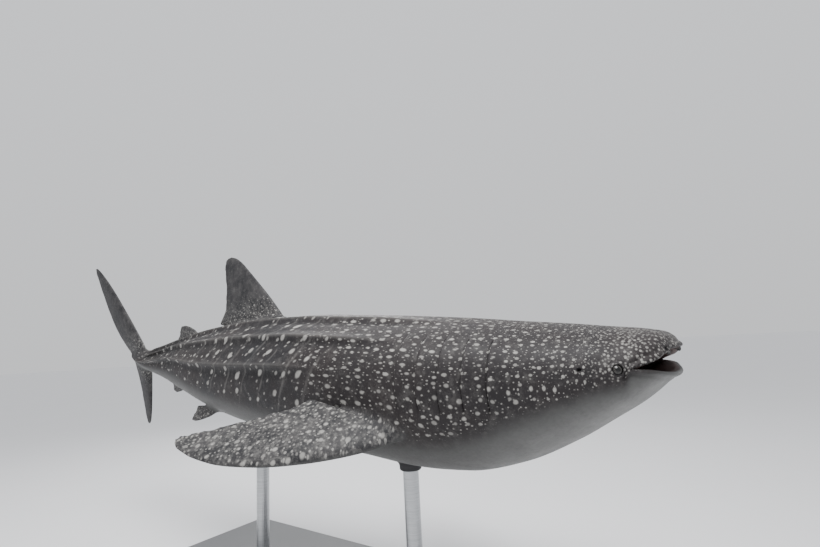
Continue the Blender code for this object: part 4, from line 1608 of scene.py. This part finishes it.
@dataclass(frozen=True)
class SkinFinish:
    """Dark grey-brown hide with pale spots and faint bars above, and a grey belly: the animal's pale belly,
    darkened as painted shade of the underside.
    """

    dark: Row = (0.015, 0.015, 0.0172)
    warm: Row = (0.027, 0.0222, 0.0222)
    pale: Row = (0.41, 0.398, 0.372)
    # The belly's real pale colour, darkened as painted shade of the underside.
    belly: Row = (0.19, 0.19, 0.185)
    fin_grey: Row = (0.046, 0.044, 0.045)
    gum: Row = (0.115, 0.078, 0.072)
    # Near-black painted shade, for the gill slits, pits and the grooves under the ridges.
    hollow: Row = (0.01, 0.009, 0.01)
    flank: SpotLayer = SpotLayer((0.036, 0.3), (0.0033, 0.045), 0.45, least=0.7, spread=0.5, soft=0.36,
                                 vary=0.25)
    flank_small: SpotLayer = SpotLayer((0.018, 0.135), (0.0021, 0.027), 0.85, least=0.25, spread=0.8,
                                       soft=0.36, vary=0.45)
    head: SpotLayer = SpotLayer((0.9, 0.116), (0.138, 0.0184), 0.62, least=0.7, spread=0.5, soft=0.42,
                                strength=0.88, vary=0.38)
    head_small: SpotLayer = SpotLayer((0.41, 0.056), (0.058, 0.008), 0.9, least=0.42, spread=0.8,
                                      soft=0.36, vary=0.5)
    snout: SpotLayer = SpotLayer((0.0165, 0.0165, 0.0165), (0.006, 0.006, 0.006), 0.8, least=0.7,
                                 spread=0.5, soft=0.42, strength=0.8, vary=0.55)
    fin: SpotLayer = SpotLayer((0.088, 0.056), (0.013, 0.0084), 0.8, least=0.4, spread=0.85, soft=0.44,
                               strength=0.85, vary=0.5)
    fin_small: SpotLayer = SpotLayer((0.034, 0.025), (0.0064, 0.0047), 0.9, least=0.45, spread=0.85,
                                     soft=0.4, vary=0.6)

    @cached_property
    def graph(self) -> Graph:
        """The hide's node tree."""
        return Graph("hide")

    @cached_property
    def at(self) -> Sockets:
        """The sockets that the methods share.

        Returns:
            The vectors of SKIN_VECTORS and their parts; cloud, grain and mottle, which are noises;
            above, the upper side; and shown, where the body carries spots.
        """
        graph, found = self.graph, {}
        for name, words in SKIN_VECTORS.items():
            found[name] = graph.attribute(name)
            found.update(zip(words, graph.node("SeparateXYZ", Vector=found[name]).outputs))
        found["cloud"] = graph.noise(graph.place, 7.0, 6.0, 0.62)
        found["grain"] = graph.noise(graph.place, 55.0, 5.0, 0.6)
        found["mottle"] = graph.step(graph.noise(graph.place, 19.0, 6.0, 0.7), 0.47, 0.72)
        found["above"] = graph.step(self.ragged(found, 0.16), 0.15, 0.03)
        found["shown"] = graph.times(found["above"], graph.step(found["on_fin"], 0.65, 0.35))
        return found

    def material(self) -> Material:
        """The hide's material: upper side, lower side, mouth, painted shade in the hollows and grain, laid in
        turn.

        Returns:
            The material.
        """
        graph, at = self.graph, self.at
        bright, dim = self.spots()
        below = self.lower()
        tone = graph.mix(graph.step(self.ragged(at, 0.22), 0.02, 0.34), self.upper(bright, dim), below)
        tone = graph.tint(tone, below, at["under"], 0.75)
        tone = graph.mix(graph.step(at["mouth"], 0.1, 0.8), tone, self.gum)
        # Painted shade: near-black laid into the gill slits, eye sockets, nostrils and spiracles.
        tone = graph.tint(tone, self.hollow, at["hollow"], 0.92)
        tone = graph.tint(tone, scaled(self.warm, 0.5), graph.step(at["grain"], 0.35, 0.75), 0.14)
        rough = 0.44
        for socket, amount in ((at["cloud"], 0.22), (at["grain"], 0.12), (bright, -0.05)):
            rough = graph.times(socket, amount, rough)
        wrinkles = graph.noise(graph.vector("MULTIPLY", at["flank"], (260.0, 16.0, 0.0)), 1.0, 5.0, 0.6)
        normal = graph.bump(at["cloud"], 0.01, 0.3)
        normal = graph.bump(wrinkles, 0.006, 0.22, normal)
        normal = graph.bump(graph.noise(graph.place, 190.0, 4.0, 0.6), 0.0016, 0.4, normal)
        return graph.surface(Base_Color=tone, Roughness=rough, Normal=normal, Coat_Weight=0.03,
                             Coat_Roughness=0.3, Specular_IOR_Level=0.18)

    def ragged(self, at: Sockets, amount: float) -> Socket:
        """How far a point lies down the belly, made ragged by so much of the cloud."""
        inner = self.graph.math("SUBTRACT", at["belly"], 0.5 * amount)
        return self.graph.times(at["cloud"], amount, inner)

    def upper(self, bright: Socket, dim: Socket) -> Socket:
        """The colour of back, flanks and fins: a clouded dark tone with pale marks, and painted highlight and
        shadow at the ridges, laid over it.

        Args:
            bright: The full spots.
            dim: The faint small ones.

        Returns:
            The colour.
        """
        graph, at = self.graph, self.at
        cloud, on_fin = at["cloud"], at["on_fin"]
        warmth = graph.times(cloud, 0.5, graph.noise(graph.place, 1.3, 3.0))
        speckle = graph.step(graph.noise(graph.place, 85.0, 3.0, 0.6), 0.58, 0.74)
        frost = graph.times(graph.step(graph.noise(graph.place, 34.0, 6.0, 0.72), 0.44, 0.66), on_fin)
        tone = graph.mix(graph.step(warmth, 0.5, 1.0), self.dark, self.warm)
        tone = graph.tint(tone, self.warm, graph.math("MAXIMUM", at["on_head"], at["on_snout"]), 0.45)
        tone = graph.mix(on_fin, tone, graph.mix(graph.step(cloud, 0.3, 0.7), self.dark, self.fin_grey))
        # Painted highlight along each ridge's crest, and painted shadow in the groove under it, in the
        # painted shade colour.
        tone = graph.tint(tone, self.pale, graph.step(at["ridged"], 0.0, 1.0), 0.1)
        tone = graph.tint(tone, self.hollow, graph.step(at["ridged"], 0.0, -0.8), 0.6)
        marks = ((at["mottle"], 0.09), (speckle, 0.1), (self.bars(), 0.15), (dim, 0.6),
                 (frost, graph.times(at["spotted"], 0.2)),
                 (bright, graph.times(cloud, 0.3, 0.68)))
        for mask, amount in marks:
            tone = graph.tint(tone, self.pale, mask, amount)
        return tone

    def lower(self) -> Socket:
        """The belly's colour: a clouded grey, darker towards the flank, its whole brightness held down below
        the animal's white as painted shade of the underside.

        Returns:
            The colour.
        """
        graph, at = self.graph, self.at
        tone = graph.mix(graph.step(at["cloud"], 0.35, 0.75), self.belly, scaled(self.belly, 0.8))
        tone = graph.tint(tone, self.fin_grey, at["mottle"], 0.16)
        return graph.mix(graph.step(at["belly"], 0.1, 0.95), scaled(self.belly, 0.42), tone)

    def spots(self) -> tuple[Socket, Socket]:
        """The full spots and the faint small ones of every region, each laid over the others.

        Returns:
            Two sockets from 0 to 1.
        """
        graph, at = self.graph, self.at
        head_place = graph.node("CombineXYZ", X=at["columns"], Y=at["angle"]).outputs[0]
        on_fin = graph.times(graph.step(at["on_fin"], 0.4, 0.95), graph.math("SUBTRACT", 1.0, at["under"]))
        regions = (
            (self.flank, self.flank_small, at["flank"], graph.times(at["on_flank"], at["shown"])),
            (self.head, self.head_small, head_place, graph.times(at["on_head"], at["shown"])),
            (self.fin, self.fin_small, at["fin_place"], graph.times(on_fin, at["spotted"])))
        on_snout = graph.times(at["on_snout"], at["above"])
        bright, dim = self.snout.mask(graph, graph.place, on_snout, solid_cells=True), 0.0
        for full, small, place, weight in regions:
            bright = graph.math("MAXIMUM", bright, full.mask(graph, place, weight))
            dim = graph.math("MAXIMUM", dim, small.mask(graph, place, weight))
        return bright, dim

    def bars(self) -> Socket:
        """Faint pale bars down the flanks, one between each two columns of spots.

        Returns:
            A socket from 0 to 1.
        """
        graph, at = self.graph, self.at
        column = graph.math("DIVIDE", at["leant"], self.flank.cell[0])
        column = graph.math("ADD", column, graph.times(graph.math("SUBTRACT", at["cloud"], 0.5), 0.35))
        phase = graph.math("ABSOLUTE", graph.math("SUBTRACT", graph.math("FRACT", column), 0.5))
        faint = graph.times(graph.step(phase, 0.42, 0.5), graph.step(at["cloud"], 0.36, 0.6))
        return graph.times(faint, graph.times(at["shown"], at["on_flank"]))


@dataclass(frozen=True)
class EyeFinish:
    """A dark eye: a round black pupil in a silver-grey iris with a dark rim, under a clear gloss.

    The mesh's disc attribute holds the distance from the eye's axis over its radius, and the cosine
    and sine of the angle round it.
    """

    pupil: Row = (0.002, 0.002, 0.002)
    iris: Row = (0.018, 0.016, 0.014)
    streak: Row = (0.048, 0.044, 0.037)
    rim: Row = (0.014, 0.013, 0.013)

    def material(self) -> Material:
        """The eye's material, with streaks of noise that run out from the pupil.

        Returns:
            The material.
        """
        graph = Graph("eye_gloss")
        distance, cosine, sine = graph.node("SeparateXYZ", Vector=graph.attribute("disc")).outputs
        spokes = graph.node("CombineXYZ", X=graph.times(cosine, 9.0), Y=graph.times(sine, 9.0),
                            Z=graph.times(distance, 1.5)).outputs[0]
        streaks = graph.step(graph.noise(spokes, 1.0, 4.0, 0.6), 0.4, 0.7)
        iris = graph.mix(streaks, self.iris, self.streak)
        iris = graph.mix(graph.step(distance, 0.6, 0.72), iris, self.rim)
        tone = graph.mix(graph.step(distance, 0.42, 0.46), self.pupil, iris)
        rough = graph.times(streaks, 0.08, 0.06)
        return graph.surface(Base_Color=tone, Roughness=rough, Normal=graph.bump(streaks, 0.0003, 0.4),
                             Coat_Weight=0.45, Coat_Roughness=0.02, Specular_IOR_Level=0.2)


@dataclass(frozen=True)
class PaintFinish:
    """Powder-coated metal: fine orange peel, faint clouding and paler rubbed edges."""

    colour: Row = (0.06, 0.063, 0.068)
    rubbed: Row = (0.135, 0.138, 0.142)
    dust: Row = (0.16, 0.16, 0.155)

    def material(self) -> Material:
        """The stand base's material.

        Returns:
            The material.
        """
        graph = Graph("stand_paint")
        cloud = graph.noise(graph.place, 3.0, 5.0, 0.6)
        scuffs = graph.noise(graph.vector("MULTIPLY", graph.place, (1.0, 6.0, 6.0)), 7.0, 6.0, 0.7)
        edge = graph.node("NewGeometry").outputs["Pointiness"]
        tone = graph.mix(graph.step(cloud, 0.3, 0.8), self.colour, scaled(self.colour, 1.25))
        tone = graph.tint(tone, self.dust, graph.step(scuffs, 0.6, 0.75), 0.35)
        tone = graph.tint(tone, self.rubbed, graph.step(edge, 0.52, 0.6), 0.5)
        rough = graph.times(cloud, 0.18, 0.36)
        normal = graph.bump(graph.noise(graph.place, 420.0, 2.0), 0.0007, 0.35)
        return graph.surface(Base_Color=tone, Roughness=rough, Normal=normal, Coat_Weight=0.15,
                             Coat_Roughness=0.3)


@dataclass(frozen=True)
class SteelFinish:
    """Brushed stainless steel, with its grain running round the bar or disc."""

    name: str
    colour: Row = (0.52, 0.53, 0.54)
    shade: Row = (0.36, 0.37, 0.38)
    grain: Row = (4.0, 4.0, 260.0)

    def material(self) -> Material:
        """The rods', flanges' and bolts' material.

        Returns:
            The material.
        """
        graph = Graph(self.name)
        lines = graph.noise(graph.vector("MULTIPLY", graph.place, self.grain), 1.0, 4.0, 0.7)
        cloud = graph.noise(graph.place, 6.0, 4.0)
        tone = graph.mix(graph.step(lines, 0.3, 0.7), self.shade, self.colour)
        rough = graph.times(cloud, 0.12, graph.times(lines, 0.16, 0.2))
        return graph.surface(Base_Color=tone, Roughness=rough, Normal=graph.bump(lines, 0.0004, 0.3),
                             Metallic=1.0)


@dataclass(frozen=True)
class RubberFinish:
    """Matt black rubber with a fine grain."""

    colour: Row = (0.016, 0.016, 0.017)

    def material(self) -> Material:
        """The cradle pads' material.

        Returns:
            The material.
        """
        graph = Graph("cradle_rubber")
        cloud = graph.noise(graph.place, 30.0, 4.0)
        normal = graph.bump(graph.noise(graph.place, 500.0, 3.0), 0.0008, 0.5)
        return graph.surface(Base_Color=graph.mix(cloud, self.colour, scaled(self.colour, 2.2)),
                             Roughness=graph.times(cloud, 0.2, 0.6), Normal=normal)


@dataclass(frozen=True)
class FloorFinish:
    """A pale, plain, faintly clouded floor."""

    colour: Row = (0.8, 0.8, 0.81)

    def material(self) -> Material:
        """The floor's material.

        Returns:
            The material.
        """
        graph = Graph("pale_floor")
        cloud = graph.noise(graph.place, 0.5, 5.0)
        tone = graph.mix(cloud, self.colour, scaled(self.colour, 0.96))
        return graph.surface(Base_Color=tone, Roughness=0.62)


def dress(obj: Piece, material: Material) -> None:
    """Puts one material on every face of an object.

    Args:
        obj: The object.
        material: The material.
    """
    if obj.material_slots:
        for slot in obj.material_slots:
            slot.material = material
    else:
        obj.data.materials.append(material)


@dataclass
class Eye:
    """One eyeball with a bulging cornea, sitting where its CAD node sits."""

    side: Side
    head: Head
    bulge: float = 0.0016
    cornea: float = 0.62
    fit: float = 0.985
    rows: int = 40
    count: int = 64

    @property
    def node(self) -> str:
        """The CAD node this eye stands for."""
        return "eye_" + self.side.word

    def build(self) -> Piece:
        """A surface of revolution about the outward axis.

        Its radius is the globe's, plus a cornea that bulges as the squared cosine of a quarter turn
        times the angle from the axis over the cornea's.

        Returns:
            The eye's object, with a disc attribute for its finish.
        """
        low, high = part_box(self.node)
        centre = np.array(0.5 * (low + high))
        _, out = self.head.spot(self.head.eye_share, self.head.eye_height, self.side)
        globe = self.head.eye_radius * self.fit
        tilt = (np.pi * np.linspace(0, 1, self.rows + 1) ** 1.25)[1:-1, None, None]
        turn = turns(self.count)[None, :, None]
        radius = globe + self.bulge * (1 - np.cos(np.pi * np.clip(1 - tilt / self.cornea, 0, 1))) * 0.5
        right = unit(np.cross(out, [0.0, 0.0, 1.0]))
        up = np.cross(right, out)
        spoke = np.cos(turn) * right + np.sin(turn) * up
        rings = centre + radius * (np.cos(tilt) * out + np.sin(tilt) * spoke)
        eye = capped("whale_shark_eye_" + self.side.word, rings, centre + (globe + self.bulge) * out,
                     centre - globe * out)
        gap = coordinates(eye.data) - centre
        flat = gap - (gap @ out)[:, None] * out
        distance = np.linalg.norm(flat, axis=1) / self.head.eye_radius
        distance = np.where(gap @ out > 0, distance, 2 - distance)
        aim = unit(flat)
        write(eye.data, "disc", np.stack([distance, aim @ right, aim @ up], 1))
        return eye


@dataclass
class Stand:
    """What a maker adds to the base and its flanged rods: bolts, weld beads and cradle pads.

    Bolt rows hold a radius and a height over the flange; the first and last lie on the axis. Pad
    rows hold how far the pad stands off its rod, a height, and how closely it follows the belly.
    """

    bolts: int = 6
    bolt_ring: float = 0.117
    bolt_points: int = 24
    bolt_rows: Rows = (
        (0.0, 0.0), (0.02, 0.0), (0.02, 0.0022), (0.019, 0.003), (0.013, 0.003), (0.0125, 0.0036),
        (0.0125, 0.00605), (0.0115, 0.00858), (0.00875, 0.01023), (0.006, 0.011), (0.005, 0.011),
        (0.00475, 0.00605), (0.0, 0.00605))
    bolt_lift: float = 0.0002
    weld_size: Row = (0.0085, 0.0009)
    weld_points: tuple[int, int] = (180, 12)
    weld_lift: float = 0.004
    pad_points: int = 96
    pad_rows: Rows = (
        (0.0006, -0.075, 0.0), (0.016, -0.075, 0.0), (0.022, -0.068, 0.0), (0.022, -0.05, 0.0),
        (0.026, -0.034, 0.45), (0.04, -0.02, 0.8), (0.058, -0.013, 1.0), (0.066, -0.006, 1.0),
        (0.066, 0.004, 1.0), (0.0006, 0.006, 1.0))

    def bolt_circle(self, word: str) -> Piece:
        """Domed bolts on washers, turned about upright axes evenly spaced round one flange.

        Args:
            word: Which flange.

        Returns:
            The bolts as one piece.
        """
        low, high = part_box("stand_flange_" + word)
        middle, top = 0.5 * (low + high), high.z + self.bolt_lift
        rows = np.array(self.bolt_rows)[..., None]
        turn = turns(self.bolt_points)
        made = []
        for k in range(self.bolts):
            angle = 2 * math.pi * (k + 0.5) / self.bolts
            x = middle.x + self.bolt_ring * math.cos(angle)
            y = middle.y + self.bolt_ring * math.sin(angle)
            rings = np.stack([x + rows[:, 0] * np.cos(turn), y + rows[:, 0] * np.sin(turn),
                              top + rows[:, 1] + 0 * turn], -1)
            made.append(capped(f"bolt_{k}", rings[1:-1], rings[0, 0], rings[-1, 0]))
        return join(made, "stand_bolts_" + word)

    def rod(self, word: str) -> tuple[Vector, float, float]:
        """A rod's middle, its radius, and the height of its foot."""
        low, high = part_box("stand_rod_" + word)
        return 0.5 * (low + high), 0.5 * (high.x - low.x), low.z

    def weld(self, word: str) -> Piece:
        """The rippled bead that joins a rod to its flange: a torus whose girth wavers.

        Args:
            word: Which rod.

        Returns:
            The bead.
        """
        middle, radius, _ = self.rod(word)
        a, b = np.meshgrid(*map(turns, self.weld_points), indexing="ij")
        girth = self.weld_size[0] + self.weld_size[1] * np.abs(np.sin(30 * a))
        reach = radius + self.weld_lift + girth * np.cos(b)
        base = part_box("stand_flange_" + word)[1].z + self.weld_lift
        points = np.stack([middle.x + reach * np.cos(a), middle.y + reach * np.sin(a),
                           base + girth * np.sin(b)], -1)
        return solid("stand_weld_" + word, points.reshape(-1, 3), ring_faces(*self.weld_points, closed=True))

    def pad(self, word: str, skin: Piece) -> Piece:
        """The rubber collar between a rod's end and the belly, moulded to both.

        Each of its rings is an outline turned about the rod's axis, and its upper rings follow the
        belly's height there, found by looking straight up at the skin.

        Args:
            word: Which rod.
            skin: The skin that it holds.

        Returns:
            The collar.
        """
        middle, radius, foot = self.rod(word)
        turn = turns(self.pad_points)
        rings = []
        for reach, height, follow in self.pad_rows:
            x, y = middle.x + (radius + reach) * np.cos(turn), middle.y + (radius + reach) * np.sin(turn)
            belly = np.array([skin.ray_cast((px, py, foot), (0, 0, 1))[1].z for px, py in zip(x, y)])
            rings.append(np.stack([x, y, follow * belly + (1 - follow) * belly.mean() + height], -1))
        faces = ring_faces(len(rings), self.pad_points, closed=True)
        return solid("stand_pad_" + word, np.concatenate(rings), faces)


def join(pieces: list[Piece], name: str) -> Piece:
    """Puts several meshes into one object and removes them.

    Args:
        pieces: The objects.
        name: The new object's name.

    Returns:
        The new object.
    """
    merged = bmesh.new()
    for piece in pieces:
        merged.from_mesh(piece.data)
        bpy.data.objects.remove(piece)
    mesh = bpy.data.meshes.new(name)
    merged.to_mesh(mesh)
    merged.free()
    mesh.shade_smooth()
    return show(name, mesh)


@dataclass(frozen=True)
class Softbox:
    """One square area light turned towards a point."""

    name: str
    place: Row
    target: Row
    power: float
    size: float = 4.0

    def build(self) -> None:
        """Puts the light into the scene."""
        data = bpy.data.lights.new(self.name, "AREA")
        data.size, data.energy = self.size, self.power
        light = show(self.name, data)
        light.location = self.place
        light.rotation_euler = (Vector(self.target) - Vector(self.place)).to_track_quat("-Z", "Y").to_euler()


@dataclass(frozen=True)
class Studio:
    """The pale floor, the soft light, and the camera at the photo's angle.

    The camera is given by how far it lies beside, above and before the snout in body lengths, by the
    heading of its frame's right edge from the animal's left, its pitch and roll, and its focal
    length in pixels of an 820 by 547 frame.
    """

    frame_width: int = 820
    focal_pixels: float = 460.0
    sensor: float = 36.0
    heading: float = math.radians(54.85)
    pitch: float = math.radians(9.06)
    roll: float = math.radians(3.11)
    offset: Row = (0.1828, -0.0208, 0.3198)
    floor_size: float = 400.0
    floor_depth: float = 0.001
    horizon: Row = (0.8, 0.81, 0.83, 1.0)
    overhead: Row = (1.0, 1.02, 1.06, 1.0)
    lights: tuple[Softbox, ...] = (Softbox("key_light", (1.5, -2.4, 7.8), (0.0, 0.0, 1.5), 800.0),
                                   Softbox("back_light", (-5.0, 5.0, 6.0), (-0.5, 0.0, 1.5), 300.0))

    def camera(self) -> None:
        """The camera, placed from the snout and turned by heading, pitch and roll."""
        snout = Vector(SPINE.place(np.zeros(3)))
        across = Vector((math.sin(self.heading), math.cos(self.heading), 0.0))
        ahead = Vector((-math.cos(self.heading), math.sin(self.heading), 0.0))
        rise = Vector((0.0, 0.0, 1.0))
        x, y, z = self.offset
        place = snout - LENGTH * (x * across + y * rise + z * ahead)
        forward = math.sin(self.pitch) * rise + math.cos(self.pitch) * ahead
        above = math.cos(self.pitch) * rise - math.sin(self.pitch) * ahead
        right = math.cos(self.roll) * across - math.sin(self.roll) * above
        up = math.sin(self.roll) * across + math.cos(self.roll) * above
        data = bpy.data.cameras.new("camera")
        data.sensor_width = self.sensor
        data.lens = self.focal_pixels * self.sensor / self.frame_width
        camera = show("camera", data)
        turned = Matrix((right, up, -forward)).transposed().to_4x4()
        camera.matrix_world = Matrix.Translation(place) @ turned
        bpy.context.scene.camera = camera

    def floor(self) -> None:
        """A wide flat sheet just under the stand."""
        half = 0.5 * self.floor_size
        corners = ((-half, -half), (half, -half), (half, half), (-half, half))
        mesh = bpy.data.meshes.new("floor")
        mesh.from_pydata([(x, y, -self.floor_depth) for x, y in corners], [], [(0, 1, 2, 3)])
        floor = show("floor", mesh)
        dress(floor, FloorFinish().material())

    def sky(self) -> None:
        """Even light from all round, a little brighter overhead."""
        world = bpy.data.worlds.new("studio")
        bpy.context.scene.world = world
        world.use_nodes = True
        nodes, links = world.node_tree.nodes, world.node_tree.links
        coord = nodes.new("ShaderNodeTexCoord")
        parts = nodes.new("ShaderNodeSeparateXYZ")
        ramp = nodes.new("ShaderNodeValToRGB")
        for stop, colour in zip(ramp.color_ramp.elements, (self.horizon, self.overhead)):
            stop.color = colour
        links.new(coord.outputs["Generated"], parts.inputs[0])
        links.new(parts.outputs["Z"], ramp.inputs[0])
        links.new(ramp.outputs[0], nodes["Background"].inputs["Color"])

    def build(self) -> None:
        """Sets up floor, light and camera."""
        self.floor()
        self.sky()
        for light in self.lights:
            light.build()
        self.camera()


FLESH = ("head", "lower_jaw", "gill_section", "trunk_front", "trunk_rear", "tail_base", "tail_stalk",
         "caudal_fin_upper", "caudal_fin_lower", "first_dorsal_fin", "second_dorsal_fin", "anal_fin",
         "pectoral_fin_right", "pectoral_fin_left", "pelvic_fin_right", "pelvic_fin_left")


def settle(piece: Piece, slot: str, *nodes: str) -> None:
    """Makes a finished piece ride on the root and stand for CAD nodes.

    Args:
        piece: The finished piece.
        slot: The name of its slot; not used.
        *nodes: The CAD nodes that it stands for.
    """
    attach(piece, "root")
    if nodes:
        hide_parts(*nodes)
    LOG.info("%s: %d faces", piece.name, len(piece.data.polygons))


def main() -> None:
    """Builds the studio, the skin, the eyes and the stand in turn."""
    logging.basicConfig(level=logging.INFO)
    Studio().build()
    form = Form()
    head = Head(form)
    skin = Skin(form, head)
    hide = skin.build()
    skin.mark(hide)
    dress(hide, SkinFinish().material())
    settle(hide, "skin", *FLESH)
    gloss = EyeFinish().material()
    for side in Side:
        eye = Eye(side, head)
        ball = eye.build()
        dress(ball, gloss)
        settle(ball, "eye", eye.node)
    stand = Stand()
    steel = SteelFinish("rod_steel").material()
    bright = SteelFinish("bolt_steel", colour=(0.62, 0.62, 0.61), shade=(0.48, 0.48, 0.48)).material()
    rubber = RubberFinish().material()
    dress(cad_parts["stand_base"], PaintFinish().material())
    for word in ("front", "rear"):
        dress(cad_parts["stand_rod_" + word], steel)
        dress(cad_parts["stand_flange_" + word], steel)
        for piece, finish in ((stand.bolt_circle(word), bright), (stand.weld(word), bright),
                              (stand.pad(word, hide), rubber)):
            dress(piece, finish)
            settle(piece, "stand_rod")


if __name__ == "__main__":
    main()
